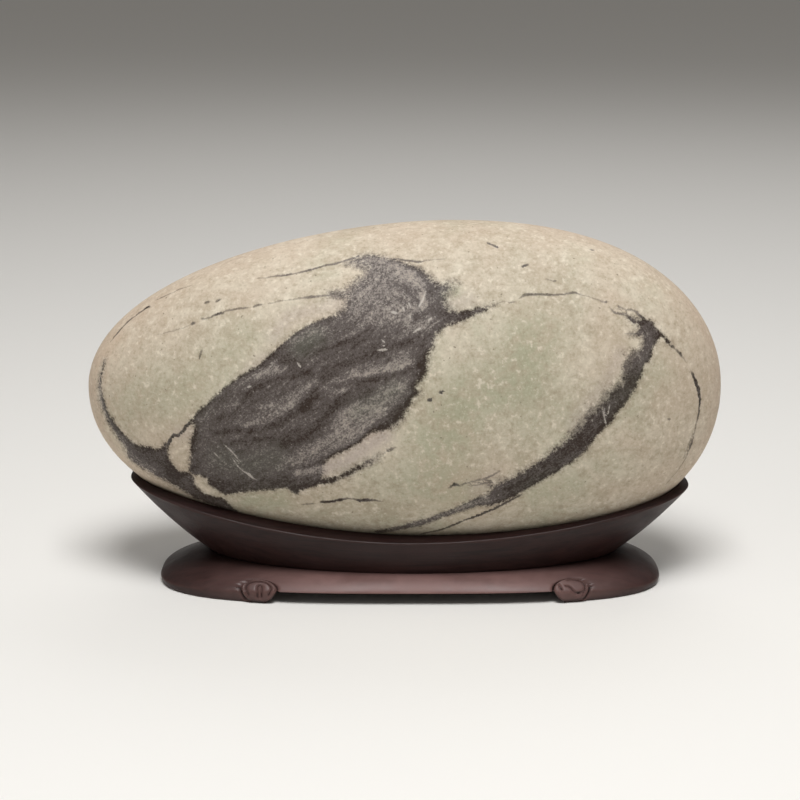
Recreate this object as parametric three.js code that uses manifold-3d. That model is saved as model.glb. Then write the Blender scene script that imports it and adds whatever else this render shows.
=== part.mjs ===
// A river pebble with a natural ink-like pattern, resting in a carved hardwood stand.
// Millimetres, +Z up, +X along the pebble. The face that is shown looks along -Y.
// The origin is on the surface that the stand stands on, under the middle of the pebble.

import * as THREE from "three";
import { mergeVertices } from "three/addons/utils/BufferGeometryUtils.js";
import Module from "manifold-3d";

// The pebble: an egg-shaped body, higher and blunter at its right end.
const PEBBLE_HALF_LENGTH = 120;
const PEBBLE_CENTRE_HEIGHT = 74.9;
const PEBBLE_CROWN = [62.9, 9.75, 5.0]; // height over the centre, at the middle, then what X and X² add
const PEBBLE_BELLY = [61.5, 7.0, 10.9]; // depth under the centre, in the same form
const PEBBLE_FLANK = [44, 2.6, 3.5]; // half thickness, in the same form
const PEBBLE_SECTION_POWER = 2.2; // 2 would be an ellipse, more is squarer
const PEBBLE_STEPS_ALONG = 36;
const PEBBLE_STEPS_ROUND = 48;

// The stand, in plan: rounded oblongs, wider at the foot and at the rim than between them.
const GROUND_PLAN = { centre: 2.2, length: 191.4, depth: 69, power: 2.93 };
const BULGE_PLAN = { centre: 2.2, length: 193.4, depth: 71, power: 2.93 };
const WAIST_PLAN = { centre: 3.5, length: 157.6, depth: 56.4, power: 2.05 };
const RIM_PLAN = { centre: 2.1, length: 214.3, depth: 68, power: 2.4 };
const BULGE_HEIGHT = 4.9;
const BULGE_DROP_AT_ENDS = 2.5;
const WAIST_HEIGHT = 10.2;
const WAIST_RISE_AT_ENDS = 1.0;
const SHOULDER_POWER = 1.5; // of the foot's upper side, 1 is a quarter circle, 2 is straight
const UNDERCUT_TURN = 0.86; // how far the foot's lower edge turns under, 1 is a whole quarter turn

// The cup: its rim dips in the middle and sweeps up to a horn at each end.
const RIM_HEIGHT = 24.2;
const LEFT_HORN_RISE = 17.2;
const RIGHT_HORN_RISE = 13.9;
const HORN_SWEEP_POWER = 1.8;
const RIM_ARRIS = 0.7; // the small round on the rim's outer edge
const RIM_TOP_RISE = 0.26; // slope of the rim's top, up towards the pebble
const RIM_TOP_REACH = 14; // how far in it runs before the seat is cut
const WALL_SWELL = [0.52, 0.4]; // control point of the wall's curve, across and up
const SEAT_GAP = 0.35;
const STAND_STEPS_ROUND = 96;

// The foot stands on its two ends. Between them its underside is raised.
const ARCH_HEIGHT = 4.9;
const ARCH_INSET_FROM_SCROLL = 5.2;

// A carved scroll ends each foot, twice on the front and twice on the back.
const SCROLL_X = [-54.5, 62.4];
const SCROLL_LIFT = 1.1; // of its middle over the foot's bulge, along the foot's side
const SCROLL_RADIUS = 6.7;
const SCROLL_RAISE = 1.0;
const SCROLL_ROOT = 1.5; // how deep its solid goes into the foot
const SCROLL_EDGE_ROUND = 0.8;
const SPIRAL_INNER_RADIUS = 0.9;
const SPIRAL_TURNS = 1.3;
const SPIRAL_PITCH = 3.0;
const SPIRAL_START = 200; // degrees, where the spiral starts in the middle
const SPIRAL_GROOVE_WIDTH = 1.1;
const SPIRAL_GROOVE_DEPTH = 0.7;
const SCROLL_STEPS_OUT = 8;
const SCROLL_STEPS_ROUND = 28;
const FOOT_SIDE_STEPS = 50; // steps by which a place on the foot's side is found

const wasm = await Module();
wasm.setup();

const degrees = Math.PI / 180;
const mix = (from, to, share) => from + (to - from) * share;
const signedPower = (value, power) => Math.sign(value) * Math.abs(value) ** power;

function solidOf(geometry) {
  const bare = geometry.clone();
  bare.deleteAttribute("normal");
  bare.deleteAttribute("uv");
  const merged = mergeVertices(bare, 1e-4);
  return new wasm.Manifold(
    new wasm.Mesh({
      numProp: 3,
      vertProperties: merged.attributes.position.array,
      triVerts: new Uint32Array(merged.index.array),
    }),
  );
}

function geometryOf(solid) {
  const mesh = solid.getMesh();
  const geometry = new THREE.BufferGeometry();
  geometry.setAttribute("position", new THREE.Float32BufferAttribute(mesh.vertProperties, 3));
  geometry.setIndex(new THREE.BufferAttribute(mesh.triVerts, 1));
  geometry.computeVertexNormals();
  return geometry;
}

// A closed skin over rings of equal length, from a first point to a last one.
// Seen from outside, with the first point below, each ring runs anticlockwise.
function closedSkin(first, rings, last) {
  const around = rings[0].length;
  const points = [first, ...rings.flat(), last];
  const faces = [];
  const at = (ring, step) => 1 + ring * around + (step % around);
  for (let step = 0; step < around; step += 1) {
    faces.push(0, at(0, step + 1), at(0, step));
    for (let ring = 0; ring < rings.length - 1; ring += 1) {
      faces.push(at(ring, step), at(ring, step + 1), at(ring + 1, step + 1));
      faces.push(at(ring, step), at(ring + 1, step + 1), at(ring + 1, step));
    }
    faces.push(points.length - 1, at(rings.length - 1, step), at(rings.length - 1, step + 1));
  }
  const geometry = new THREE.BufferGeometry();
  geometry.setAttribute("position", new THREE.Float32BufferAttribute(points.flat(), 3));
  geometry.setIndex(faces);
  geometry.computeVertexNormals();
  return geometry;
}

// The pebble's skin, or one that lies outset outside it.
function pebbleSkin(outset) {
  const size = ([middle, slope, curve], X) => middle + slope * X + curve * X * X + outset;
  const rings = [];
  for (let along = 1; along < PEBBLE_STEPS_ALONG; along += 1) {
    const angle = Math.PI * (1 - along / PEBBLE_STEPS_ALONG);
    const X = Math.cos(angle);
    const swell = Math.sin(angle);
    const ring = [];
    for (let round = 0; round < PEBBLE_STEPS_ROUND; round += 1) {
      const turn = (2 * Math.PI * round) / PEBBLE_STEPS_ROUND;
      const across = signedPower(Math.cos(turn), 2 / PEBBLE_SECTION_POWER);
      const up = signedPower(Math.sin(turn), 2 / PEBBLE_SECTION_POWER);
      const height = up > 0 ? size(PEBBLE_CROWN, X) : size(PEBBLE_BELLY, X);
      ring.push([
        (PEBBLE_HALF_LENGTH + outset) * X,
        size(PEBBLE_FLANK, X) * swell * across,
        PEBBLE_CENTRE_HEIGHT + height * swell * up,
      ]);
    }
    rings.push(ring);
  }
  const end = PEBBLE_HALF_LENGTH + outset;
  return closedSkin([-end, 0, PEBBLE_CENTRE_HEIGHT], rings, [end, 0, PEBBLE_CENTRE_HEIGHT]);
}

function planPoint(plan, angle) {
  const x = (plan.length / 2) * signedPower(Math.cos(angle), 2 / plan.power);
  const y = (plan.depth / 2) * signedPower(Math.sin(angle), 2 / plan.power);
  return [plan.centre + x, y];
}

function mixedPlan(from, to, share) {
  return {
    centre: mix(from.centre, to.centre, share),
    length: mix(from.length, to.length, share),
    depth: mix(from.depth, to.depth, share),
    power: mix(from.power, to.power, share),
  };
}

const insetPlan = (plan, inset) => ({
  centre: plan.centre,
  length: plan.length - 2 * inset,
  depth: plan.depth - 2 * inset,
  power: plan.power,
});

const bulgeHeight = (angle) => BULGE_HEIGHT - BULGE_DROP_AT_ENDS * Math.cos(angle) ** 2;
const waistHeight = (angle) => WAIST_HEIGHT + WAIST_RISE_AT_ENDS * Math.cos(angle) ** 2;

function rimHeight(angle) {
  const along = signedPower(Math.cos(angle), 2 / RIM_PLAN.power);
  const rise = along < 0 ? LEFT_HORN_RISE : RIGHT_HORN_RISE;
  return RIM_HEIGHT + rise * Math.abs(along) ** HORN_SWEEP_POWER;
}

// The foot's side from the ground (-1) over the bulge (0) to the waist (1).
function footSide(share) {
  if (share < 0) {
    const turn = (-share * UNDERCUT_TURN * Math.PI) / 2;
    const inset = (1 - Math.cos(turn)) / (1 - Math.cos((UNDERCUT_TURN * Math.PI) / 2));
    const drop = Math.sin(turn) / Math.sin((UNDERCUT_TURN * Math.PI) / 2);
    const heightAt = (angle) => bulgeHeight(angle) * (1 - drop);
    return { plan: mixedPlan(BULGE_PLAN, GROUND_PLAN, inset), heightAt };
  }
  const turn = (share * Math.PI) / 2;
  const inset = 1 - Math.cos(turn) ** SHOULDER_POWER;
  const rise = Math.sin(turn) ** SHOULDER_POWER;
  const heightAt = (angle) => mix(bulgeHeight(angle), waistHeight(angle), rise);
  return { plan: mixedPlan(BULGE_PLAN, WAIST_PLAN, inset), heightAt };
}

function ringOf(plan, heightAt) {
  const ring = [];
  for (let step = 0; step < STAND_STEPS_ROUND; step += 1) {
    const angle = (2 * Math.PI * step) / STAND_STEPS_ROUND;
    ring.push([...planPoint(plan, angle), heightAt(angle)]);
  }
  return ring;
}

// The stand's outside and a filled cup, before the seat, the arch and the scrolls.
function standBlock() {
  const rings = [];
  for (const share of [-1, -0.75, -0.5, -0.25, 0, 0.2, 0.4, 0.6, 0.8, 1]) {
    const side = footSide(share);
    rings.push(ringOf(side.plan, side.heightAt));
  }
  for (const share of [0.2, 0.4, 0.6, 0.8, 1]) {
    const across = 2 * (1 - share) * share * WALL_SWELL[0] + share ** 2;
    const up = 2 * (1 - share) * share * WALL_SWELL[1] + share ** 2;
    const plan = mixedPlan(WAIST_PLAN, RIM_PLAN, across);
    rings.push(ringOf(plan, (angle) => mix(waistHeight(angle), rimHeight(angle) - RIM_ARRIS, up)));
  }
  rings.push(ringOf(insetPlan(RIM_PLAN, RIM_ARRIS), rimHeight));
  const lift = RIM_TOP_RISE * RIM_TOP_REACH;
  rings.push(ringOf(insetPlan(RIM_PLAN, RIM_TOP_REACH), (angle) => rimHeight(angle) + lift));
  return closedSkin([GROUND_PLAN.centre, 0, 0], rings, [RIM_PLAN.centre, 0, PEBBLE_CENTRE_HEIGHT]);
}

// A point of the foot's front: x across, and up along its curved side from the bulge.
function footFace(x, up) {
  const place = (share) => {
    const { plan, heightAt } = footSide(share);
    const reach = THREE.MathUtils.clamp((x - plan.centre) / (plan.length / 2), -1, 1);
    const angle = -Math.acos(signedPower(reach, plan.power / 2));
    return new THREE.Vector3(x, planPoint(plan, angle)[1], heightAt(angle));
  };
  const way = up < 0 ? -1 : 1;
  const distance = Math.abs(up);
  let here = place(0);
  let travelled = 0;
  for (let step = 1; step <= FOOT_SIDE_STEPS; step += 1) {
    const next = place((way * step) / FOOT_SIDE_STEPS);
    const stride = next.distanceTo(here);
    if (travelled + stride >= distance) return here.lerp(next, (distance - travelled) / stride);
    travelled += stride;
    here = next;
  }
  here.z += way * (distance - travelled);
  return here;
}

// How far the scroll stands proud at a place on its face, with its spiral groove cut in.
function scrollRelief(radius, angle, hand) {
  const edge = Math.min(1, (SCROLL_RADIUS - radius) / SCROLL_EDGE_ROUND);
  const proud = SCROLL_RAISE * Math.sqrt(Math.max(0, 1 - (1 - edge) ** 2));
  const turned = hand > 0 ? angle : Math.PI - angle;
  let groove = 0;
  for (let turn = -1; turn < 3; turn += 1) {
    const along = (turned - SPIRAL_START * degrees) / (2 * Math.PI) + turn;
    if (along < 0 || along > SPIRAL_TURNS) continue;
    const away = Math.abs(radius - SPIRAL_INNER_RADIUS - SPIRAL_PITCH * along) / (SPIRAL_GROOVE_WIDTH / 2);
    groove = Math.max(groove, SPIRAL_GROOVE_DEPTH * Math.max(0, 1 - away ** 2));
  }
  return proud - groove;
}

function scrollOf(centreX, hand, side) {
  const face = (across, up, out) => {
    const nudge = 0.2;
    const place = [centreX + across, SCROLL_LIFT + up];
    const point = footFace(...place);
    const sideways = footFace(place[0] + nudge, place[1]).sub(point);
    const upwards = footFace(place[0], place[1] + nudge).sub(point);
    const normal = sideways.cross(upwards).normalize();
    const placed = point.addScaledVector(normal, out);
    return [placed.x, placed.y * side, placed.z];
  };
  const rings = [];
  const ringAt = (radius, lift) => {
    const ring = [];
    for (let step = 0; step < SCROLL_STEPS_ROUND; step += 1) {
      const angle = ((2 * Math.PI * step) / SCROLL_STEPS_ROUND) * side;
      ring.push(face(radius * Math.cos(angle), radius * Math.sin(angle), lift(angle)));
    }
    return ring;
  };
  for (const share of [0.4, 1]) rings.push(ringAt(SCROLL_RADIUS * share, () => -SCROLL_ROOT));
  for (let out = SCROLL_STEPS_OUT; out > 0; out -= 1) {
    const radius = (SCROLL_RADIUS * out) / SCROLL_STEPS_OUT;
    rings.push(ringAt(radius, (angle) => scrollRelief(radius, angle, hand)));
  }
  return closedSkin(face(0, 0, -SCROLL_ROOT), rings, face(0, 0, scrollRelief(0, 0, hand)));
}

function boxOf(low, high) {
  const size = high.map((value, axis) => value - low[axis]);
  const box = new THREE.BoxGeometry(...size);
  box.translate(...low.map((value, axis) => value + size[axis] / 2));
  return box;
}

function carvedStand() {
  const far = 200;
  const archFrom = SCROLL_X[0] + ARCH_INSET_FROM_SCROLL;
  const archTo = SCROLL_X[1] - ARCH_INSET_FROM_SCROLL;
  let stand = solidOf(standBlock());
  stand = stand.subtract(solidOf(boxOf([archFrom, -far, -far], [archTo, far, ARCH_HEIGHT])));
  stand = stand.subtract(solidOf(pebbleSkin(SEAT_GAP)));
  for (const side of [1, -1]) {
    SCROLL_X.forEach((x, which) => {
      stand = stand.add(solidOf(scrollOf(x, which === 0 ? 1 : -1, side)));
    });
  }
  return stand.subtract(solidOf(boxOf([-far, -far, -far], [far, far, 0])));
}

function named(name, geometry, material) {
  const mesh = new THREE.Mesh(geometry, material);
  mesh.name = name;
  return mesh;
}

const sandstone = new THREE.MeshStandardMaterial({ color: 0xada48d, roughness: 0.72, metalness: 0 });
const stainedHardwood = new THREE.MeshStandardMaterial({ color: 0x3a2a27, roughness: 0.38, metalness: 0 });

const paintingStoneOnStand = new THREE.Group();
paintingStoneOnStand.add(named("river_stone", pebbleSkin(0), sandstone));
paintingStoneOnStand.add(named("wood_stand", geometryOf(carvedStand()), stainedHardwood));

export default paintingStoneOnStand;
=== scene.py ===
"""A river pebble with an ink-like pattern, resting in its carved hardwood stand.

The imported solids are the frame. The pebble and the stand are built again in the same
place with finer surfaces, and get the finishes of the real ones. Shapes and markings are
worked out in millimetres, and meshes are made in metres.
"""

import math
from functools import partial
from types import SimpleNamespace

import bpy
import numpy as np
from bpy.props import FloatProperty, FloatVectorProperty, PointerProperty
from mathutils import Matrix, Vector, noise
from mathutils.bvhtree import BVHTree
from mathutils.kdtree import KDTree


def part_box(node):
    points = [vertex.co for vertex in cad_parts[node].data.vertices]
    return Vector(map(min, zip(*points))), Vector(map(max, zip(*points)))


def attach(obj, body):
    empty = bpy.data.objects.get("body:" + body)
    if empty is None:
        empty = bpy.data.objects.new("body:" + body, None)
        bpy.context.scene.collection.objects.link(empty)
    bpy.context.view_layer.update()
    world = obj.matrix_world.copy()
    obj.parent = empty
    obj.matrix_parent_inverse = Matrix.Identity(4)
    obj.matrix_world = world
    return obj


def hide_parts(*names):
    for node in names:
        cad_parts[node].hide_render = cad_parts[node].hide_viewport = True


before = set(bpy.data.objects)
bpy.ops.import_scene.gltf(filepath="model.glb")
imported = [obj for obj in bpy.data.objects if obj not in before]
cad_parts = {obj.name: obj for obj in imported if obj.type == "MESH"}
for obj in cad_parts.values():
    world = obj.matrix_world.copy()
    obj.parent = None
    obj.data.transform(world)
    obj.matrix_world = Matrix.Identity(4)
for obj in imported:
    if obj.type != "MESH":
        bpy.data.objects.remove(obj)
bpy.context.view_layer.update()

bl_info = {
    "name": "Painting Stone on Stand",
    "version": (1, 0, 0),
    "blender": (4, 5, 0),
    "location": "View3D > Sidebar > Painting Stone",
    "description": "Dresses a patterned river pebble and its carved wood stand",
    "category": "Object",
}

MM = 0.001
PEBBLE_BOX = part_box("river_stone")


def linear(code):
    """Turns an sRGB hex colour into the linear one that Blender's shaders use."""
    parts = [int(code[at : at + 2], 16) / 255 for at in (1, 3, 5)]
    return tuple(p / 12.92 if p <= 0.04045 else ((p + 0.055) / 1.055) ** 2.4 for p in parts) + (1.0,)


def colour(name, description, code):
    return FloatVectorProperty(
        name=name, description=description, default=linear(code), subtype="COLOR", size=4, min=0, max=1
    )


def length(name, description, millimetres):
    return FloatProperty(
        name=name, description=description, default=millimetres * MM, subtype="DISTANCE", unit="LENGTH", min=0
    )


# The pebble's shape, as in the solids: a middle value, then what X and X² add towards its ends.
PEBBLE_HALF_LENGTH = (PEBBLE_BOX[1].x - PEBBLE_BOX[0].x) / 2 / MM
PEBBLE_CENTRE_HEIGHT = 74.9
PEBBLE_CROWN = (62.9, 9.75, 5.0)
PEBBLE_BELLY = (61.5, 7.0, 10.9)
PEBBLE_FLANK = (44, 2.6, 3.5)
PEBBLE_SECTION_POWER = 2.2

# The stand's plans: centre, length, depth and power of each rounded oblong.
GROUND_PLAN = (2.2, 191.4, 69, 2.93)
BULGE_PLAN = (2.2, 193.4, 71, 2.93)
WAIST_PLAN = (3.5, 157.6, 56.4, 2.05)
RIM_PLAN = (2.1, 214.3, 68, 2.4)
BULGE_HEIGHT = 4.9
BULGE_DROP_AT_ENDS = 2.5
WAIST_HEIGHT = 10.2
WAIST_RISE_AT_ENDS = 1.0
SHOULDER_POWER = 1.5
UNDERCUT_TURN = 0.86 * math.pi / 2
RIM_HEIGHT = 24.2
LEFT_HORN_RISE = 17.2
RIGHT_HORN_RISE = 13.9
HORN_SWEEP_POWER = 1.8
RIM_ARRIS = 0.7
RIM_TOP_RISE = 0.26
RIM_TOP_REACH = 14
WALL_SWELL = (0.52, 0.4)
SEAT_GAP = 0.35
ARCH_HEIGHT = 4.9
SCROLL_X = (-54.5, 62.4)
SCROLL_LIFT = 2.1
SCROLL_RADIUS = 6.7
SCROLL_RAISE = 0.7
SCROLL_LEAN = 0.3  # how much further a scroll's top stands out than its middle
SCROLL_EDGE_ROUND = 0.9


class PebbleSettings(bpy.types.PropertyGroup):
    sand_light: colour("Light sand", "The paler sand", "#D0C6B3")
    sand_dark: colour("Dark sand", "The darker sand", "#AEA28D")
    moss: colour("Green mineral", "The greenish clouds in the stone", "#95987C")
    # partly the rind's own tint, partly a painted sheen of grazing light round the pebble's edge
    rind_and_sheen: colour("Rind", "The iron-tinted rind round the pebble's edge", "#D3B9A3")
    ink: colour("Ink mineral", "The darkest of the pattern", "#2D2017")
    soaked: colour("Soaked ink", "The pattern where it is neither thick nor thin", "#534B47")
    wash: colour("Ink wash", "The thin, greyer parts of the pattern", "#8A827D")
    grain: length("Grain", "Size of the sand grains", 0.9)
    undulation: length("Undulation", "How far water has left the surface uneven", 0.12)


class StandSettings(bpy.types.PropertyGroup):
    heartwood: colour("Heartwood", "The stained wood between its streaks", "#261614")
    streak: colour("Streak", "The darker streaks of the grain", "#1B100F")
    # partly wood rubbed pale at the edges, partly a painted highlight on them
    rubbed_edge_and_highlight: colour("Rubbed edge", "Wood that shows through where edges are rubbed", "#5E443E")
    streak_width: length("Streak width", "Width of the grain's dark streaks", 1.6)
    scroll_groove: length("Scroll groove", "Depth of the lines carved in the scrolls", 0.75)


class StageSettings(bpy.types.PropertyGroup):
    elevation: FloatProperty(
        name="Camera height angle", description="Angle of the camera above level",
        default=math.radians(15), subtype="ANGLE", unit="ROTATION",
    )
    distance: length("Camera distance", "From the camera to the middle of the picture", 700)
    picture_width: length("Picture width", "What the picture takes in, across its middle", 305)
    floor: colour("Floor", "The plain pale floor", "#ECEAE6")


def signed_power(values, power):
    return np.sign(values) * np.abs(values) ** power


def make_piece(name, points, faces, smooth=True):
    """A mesh object from points in millimetres."""
    mesh = bpy.data.meshes.new(name)
    mesh.from_pydata((np.asarray(points) * MM).tolist(), [], [list(face) for face in faces])
    mesh.validate()
    piece = bpy.data.objects.new(name, mesh)
    bpy.context.scene.collection.objects.link(piece)
    if smooth:
        mesh.shade_smooth()
    return piece


def skin_faces(rings, around):
    """Faces between rings of equal length, and fans to a first and a last point."""
    step = np.arange(around)
    after = (step + 1) % around
    faces = [(0, 1 + b, 1 + a) for a, b in zip(step, after)]
    for ring in range(rings - 1):
        low, high = 1 + ring * around, 1 + (ring + 1) * around
        faces += zip(low + step, low + after, high + after, high + step)
    top, last = 1 + rings * around, 1 + (rings - 1) * around
    faces += [(top, last + a, last + b) for a, b in zip(step, after)]
    return faces


def points_of(mesh, what="vertices", field="co"):
    values = np.zeros(len(getattr(mesh, what)) * 3)
    getattr(mesh, what).foreach_get(field, values)
    return values.reshape(-1, 3)


def give_attribute(mesh, name, values):
    """Stores a number or a vector on each vertex, for the material to read."""
    values = np.asarray(values, float)
    kind = "FLOAT" if values.ndim == 1 else "FLOAT_VECTOR"
    attribute = mesh.attributes.new(name, kind, "POINT")
    attribute.data.foreach_set("value" if values.ndim == 1 else "vector", values.ravel())


# The pebble

RINGS_ALONG = 318
COLUMNS_IN_FRONT = 196
COLUMNS_BEHIND = 108
OUTLINE_SAMPLES = 2000
UNDULATION_SIZES = ((38, 1.0), (11, 0.35), (3.2, 0.14))  # millimetres, and share of the undulation


def pebble_surface(rings, columns, outset):
    """Points of the pebble, or of a surface that lies outset outside it, ring by ring."""
    angles = np.linspace(0, math.pi, OUTLINE_SAMPLES)
    outline = np.hypot(
        np.diff(PEBBLE_HALF_LENGTH * np.cos(angles)), np.diff(PEBBLE_CROWN[0] * np.sin(angles))
    )
    travelled = np.concatenate([[0], np.cumsum(outline)])
    even = np.linspace(0, travelled[-1], rings + 2)[1:-1]
    along = -np.cos(np.interp(even, travelled, angles))[:, None]
    swell = np.sqrt(1 - along**2)

    def size(profile):
        middle, slope, curve = profile
        return middle + slope * along + curve * along**2 + outset

    up = signed_power(np.sin(columns), 2 / PEBBLE_SECTION_POWER)[None, :]
    across = signed_power(np.cos(columns), 2 / PEBBLE_SECTION_POWER)[None, :]
    z = PEBBLE_CENTRE_HEIGHT + swell * up * np.where(up > 0, size(PEBBLE_CROWN), size(PEBBLE_BELLY))
    y = size(PEBBLE_FLANK) * swell * across
    reach = PEBBLE_HALF_LENGTH + outset
    x = np.broadcast_to(reach * along, y.shape)
    body = np.stack([x, y, z], axis=-1).reshape(-1, 3)
    ends = [[-reach, 0, PEBBLE_CENTRE_HEIGHT], [reach, 0, PEBBLE_CENTRE_HEIGHT]]
    return np.vstack([ends[:1], body, ends[1:]])


def uneven(points, normals, height):
    """Moves points along their normals by a few sizes of soft noise."""
    moved = []
    for point, normal in zip(points, normals):
        lift = sum(share * noise.noise(Vector(point / size)) for size, share in UNDULATION_SIZES)
        moved.append(point + normal * lift * height)
    return np.array(moved)


class Sight:
    """The view from the front. The pattern is laid out on its picture plane.

    Across and up are millimetres on the plane that faces the camera through the point it
    looks at. A line of sight meets the pebble once in front and once behind.
    """

    LOOKED_AT = np.array([-1.7, 0, 70])

    def __init__(self, stage):
        self.distance = stage.distance / MM
        lift = stage.elevation
        self.forward = np.array([0, math.cos(lift), -math.sin(lift)])
        self.right = np.array([1.0, 0, 0])
        self.up = np.cross(self.right, self.forward)
        self.eye = self.LOOKED_AT - self.forward * self.distance

    def seen_at(self, points):
        """Where points show on the picture plane, as across and up."""
        sight_lines = points - self.eye
        depth = sight_lines @ self.forward
        scale = self.distance / depth
        return np.stack([sight_lines @ self.right * scale, sight_lines @ self.up * scale], axis=-1)

    def land(self, tree, across, up, behind=False):
        """The point of the pebble on a line of sight and its normal, or None."""
        heading = self.forward * self.distance + self.right * across + self.up * up
        start = self.eye + heading * 2 if behind else self.eye
        way = -heading if behind else heading
        point, normal, _, _ = tree.ray_cast(Vector(start), Vector(way).normalized())
        return (np.array(point), np.array(normal)) if point else None


# The pattern in front. Outlines of dark areas: across, up and, where it changes, how soft the
# edge is from there on.
LEAF = [
    (-80.5, -8.5, 0.35), (-78.5, -5.5), (-76, -3), (-73.5, -1), (-72, 0.5), (-70, 2.2), (-67.5, 4.8),
    (-65.5, 6.3), (-63.5, 7.5), (-60, 10), (-57.5, 11.5), (-54.5, 13), (-53, 14), (-51.5, 16), (-49, 18),
    (-46.5, 20), (-44.5, 21.7), (-42, 24.2), (-40, 25.7), (-38, 27), (-36, 28.4), (-34, 29.4), (-31, 30.2),
    (-29, 31.2), (-27, 32), (-24.5, 33, 0.9), (-23, 34.2, 1.5), (-21.5, 34.8), (-20.7, 37), (-21, 39),
    (-23.5, 39.6, 1.8), (-27, 39.7), (-27, 40.6), (-22, 41.5), (-19.5, 42.5), (-17.5, 44.5), (-15.5, 46),
    (-13.5, 47), (-12.8, 48.3), (-13.5, 49.8), (-16, 50.6), (-19, 51.4, 1.3), (-21, 52.3), (-19, 53.3, 0.9),
    (-16.5, 54.5), (-14.5, 55.2), (-12.5, 55.6), (-9, 55.1, 0.7), (-5, 54.4), (-1, 53.5), (2, 52.6),
    (4.5, 51.5), (7, 50.3, 1.0), (9, 49.3), (11, 47.8),
    (12.8, 46), (14.5, 44.8), (17, 44.6), (20.5, 45.5), (18.5, 44), (20, 43.2), (22.5, 44.4), (20.7, 42.2),
    (19, 41.3, 1.3), (17.8, 39.5), (17.5, 37.5), (18.5, 35.8), (19.8, 34.3), (22, 33.7, 0.5), (25, 34.2),
    (29, 35.1), (33, 35.9), (37, 36.9), (34.5, 35.2), (32.5, 33.8), (29.5, 32.4), (26.5, 31.2), (23, 29.8),
    (20, 28.8), (17.5, 27.7), (15.5, 26.4), (14, 25, 0.8), (13.3, 23.3), (13, 21), (12.3, 18.7), (11.2, 16.8),
    (11.3, 14), (10.7, 11.5), (9.7, 9.5), (8.5, 7.5), (6.8, 6), (6.2, 4.5), (7, 3.5), (8.4, 2.7), (6.8, 1.6),
    (5.2, 0), (4, -1.7), (3, -3.7), (2.3, -5.5), (1, -7.5), (-0.7, -9.2), (-2.3, -10.5), (-3.3, -11.6, 0.45),
    (-4.7, -11.2), (-6, -12), (-8, -12.3), (-10, -11.8), (-11.5, -12.8), (-13, -14.3), (-15, -15.8),
    (-17, -17.3), (-19, -18.7), (-21.5, -19.9), (-24, -21), (-26.5, -22.3), (-28.5, -23.8, 0.9),
    (-29.3, -25.5), (-29.2, -28), (-29.5, -29.8, 0.5), (-27, -29.4), (-24, -28.9), (-21.5, -27.5),
    (-19, -26.4), (-17, -25.4), (-15, -24.5), (-12, -22.6, 1.1), (-9.5, -21.4),
    (-7, -20.8), (-9.5, -23.4), (-12, -25), (-14.5, -26.2, 0.5), (-16.5, -27.5), (-19, -29),
    (-22, -30), (-24, -31.2), (-26.5, -32), (-29.5, -32.5), (-32, -33), (-34.5, -33.5), (-36, -34.5),
    (-38, -35), (-39.7, -36.1), (-41.5, -35.1), (-42.3, -33.9), (-44, -33.5), (-47, -34.3), (-50, -34.2),
    (-54, -34.7), (-58, -35), (-61, -35.3), (-64, -35.8), (-66.5, -36.2), (-69, -35), (-71, -33.6),
    (-73.3, -32), (-74, -30), (-76.5, -29), (-78.3, -28.7), (-80.5, -27.7), (-80.2, -24), (-80, -20),
    (-80.2, -17), (-79.3, -14), (-78.3, -11), (-79, -9.5),
]
HEEL = [
    (-115.2, 5, 1.0), (-115, 0), (-113.4, -4), (-111.8, -8), (-110, -11), (-108.2, -14), (-106.4, -16.5),
    (-105, -18.5), (-104.3, -21, 1.0), (-103, -22.7), (-101, -24.2), (-98.5, -25.7), (-96, -27.5),
    (-93, -29.2), (-90, -30.7), (-86.5, -32.7), (-83, -34.7), (-80, -36.5), (-77, -38), (-74, -39.3),
    (-70, -41), (-66, -42.7), (-62, -44.2), (-59.5, -45), (-61.5, -42.8, 0.5), (-63.5, -41), (-65.5, -39),
    (-67, -37.7), (-70, -36.9), (-73, -36.1), (-75.5, -35), (-77.4, -33.4), (-78.4, -31), (-78.6, -29),
    (-80, -28), (-81, -27.2), (-82.7, -27.4), (-84.6, -26.9), (-85.7, -25.5), (-87, -24), (-88, -22),
    (-88.3, -20), (-88.3, -18), (-88, -16.5), (-89, -15.7), (-90.5, -17.5), (-92, -18.3), (-93.5, -18.5),
    (-95, -17.8), (-97, -17.4), (-99, -17.2), (-100.5, -16.7), (-102, -15.7), (-103.5, -14.8),
    (-105, -13.3), (-106.5, -11.5), (-108, -9.5), (-109, -8), (-108.8, -7.3), (-110.5, -6.5),
    (-111.5, -4), (-112.5, -1), (-113.3, 2), (-113.7, 5), (-113.8, 8), (-113.2, 10.5), (-112.6, 13),
    (-112.1, 15.5), (-112.8, 15.6), (-113.9, 12, 1.0), (-114.6, 9),
]
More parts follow.
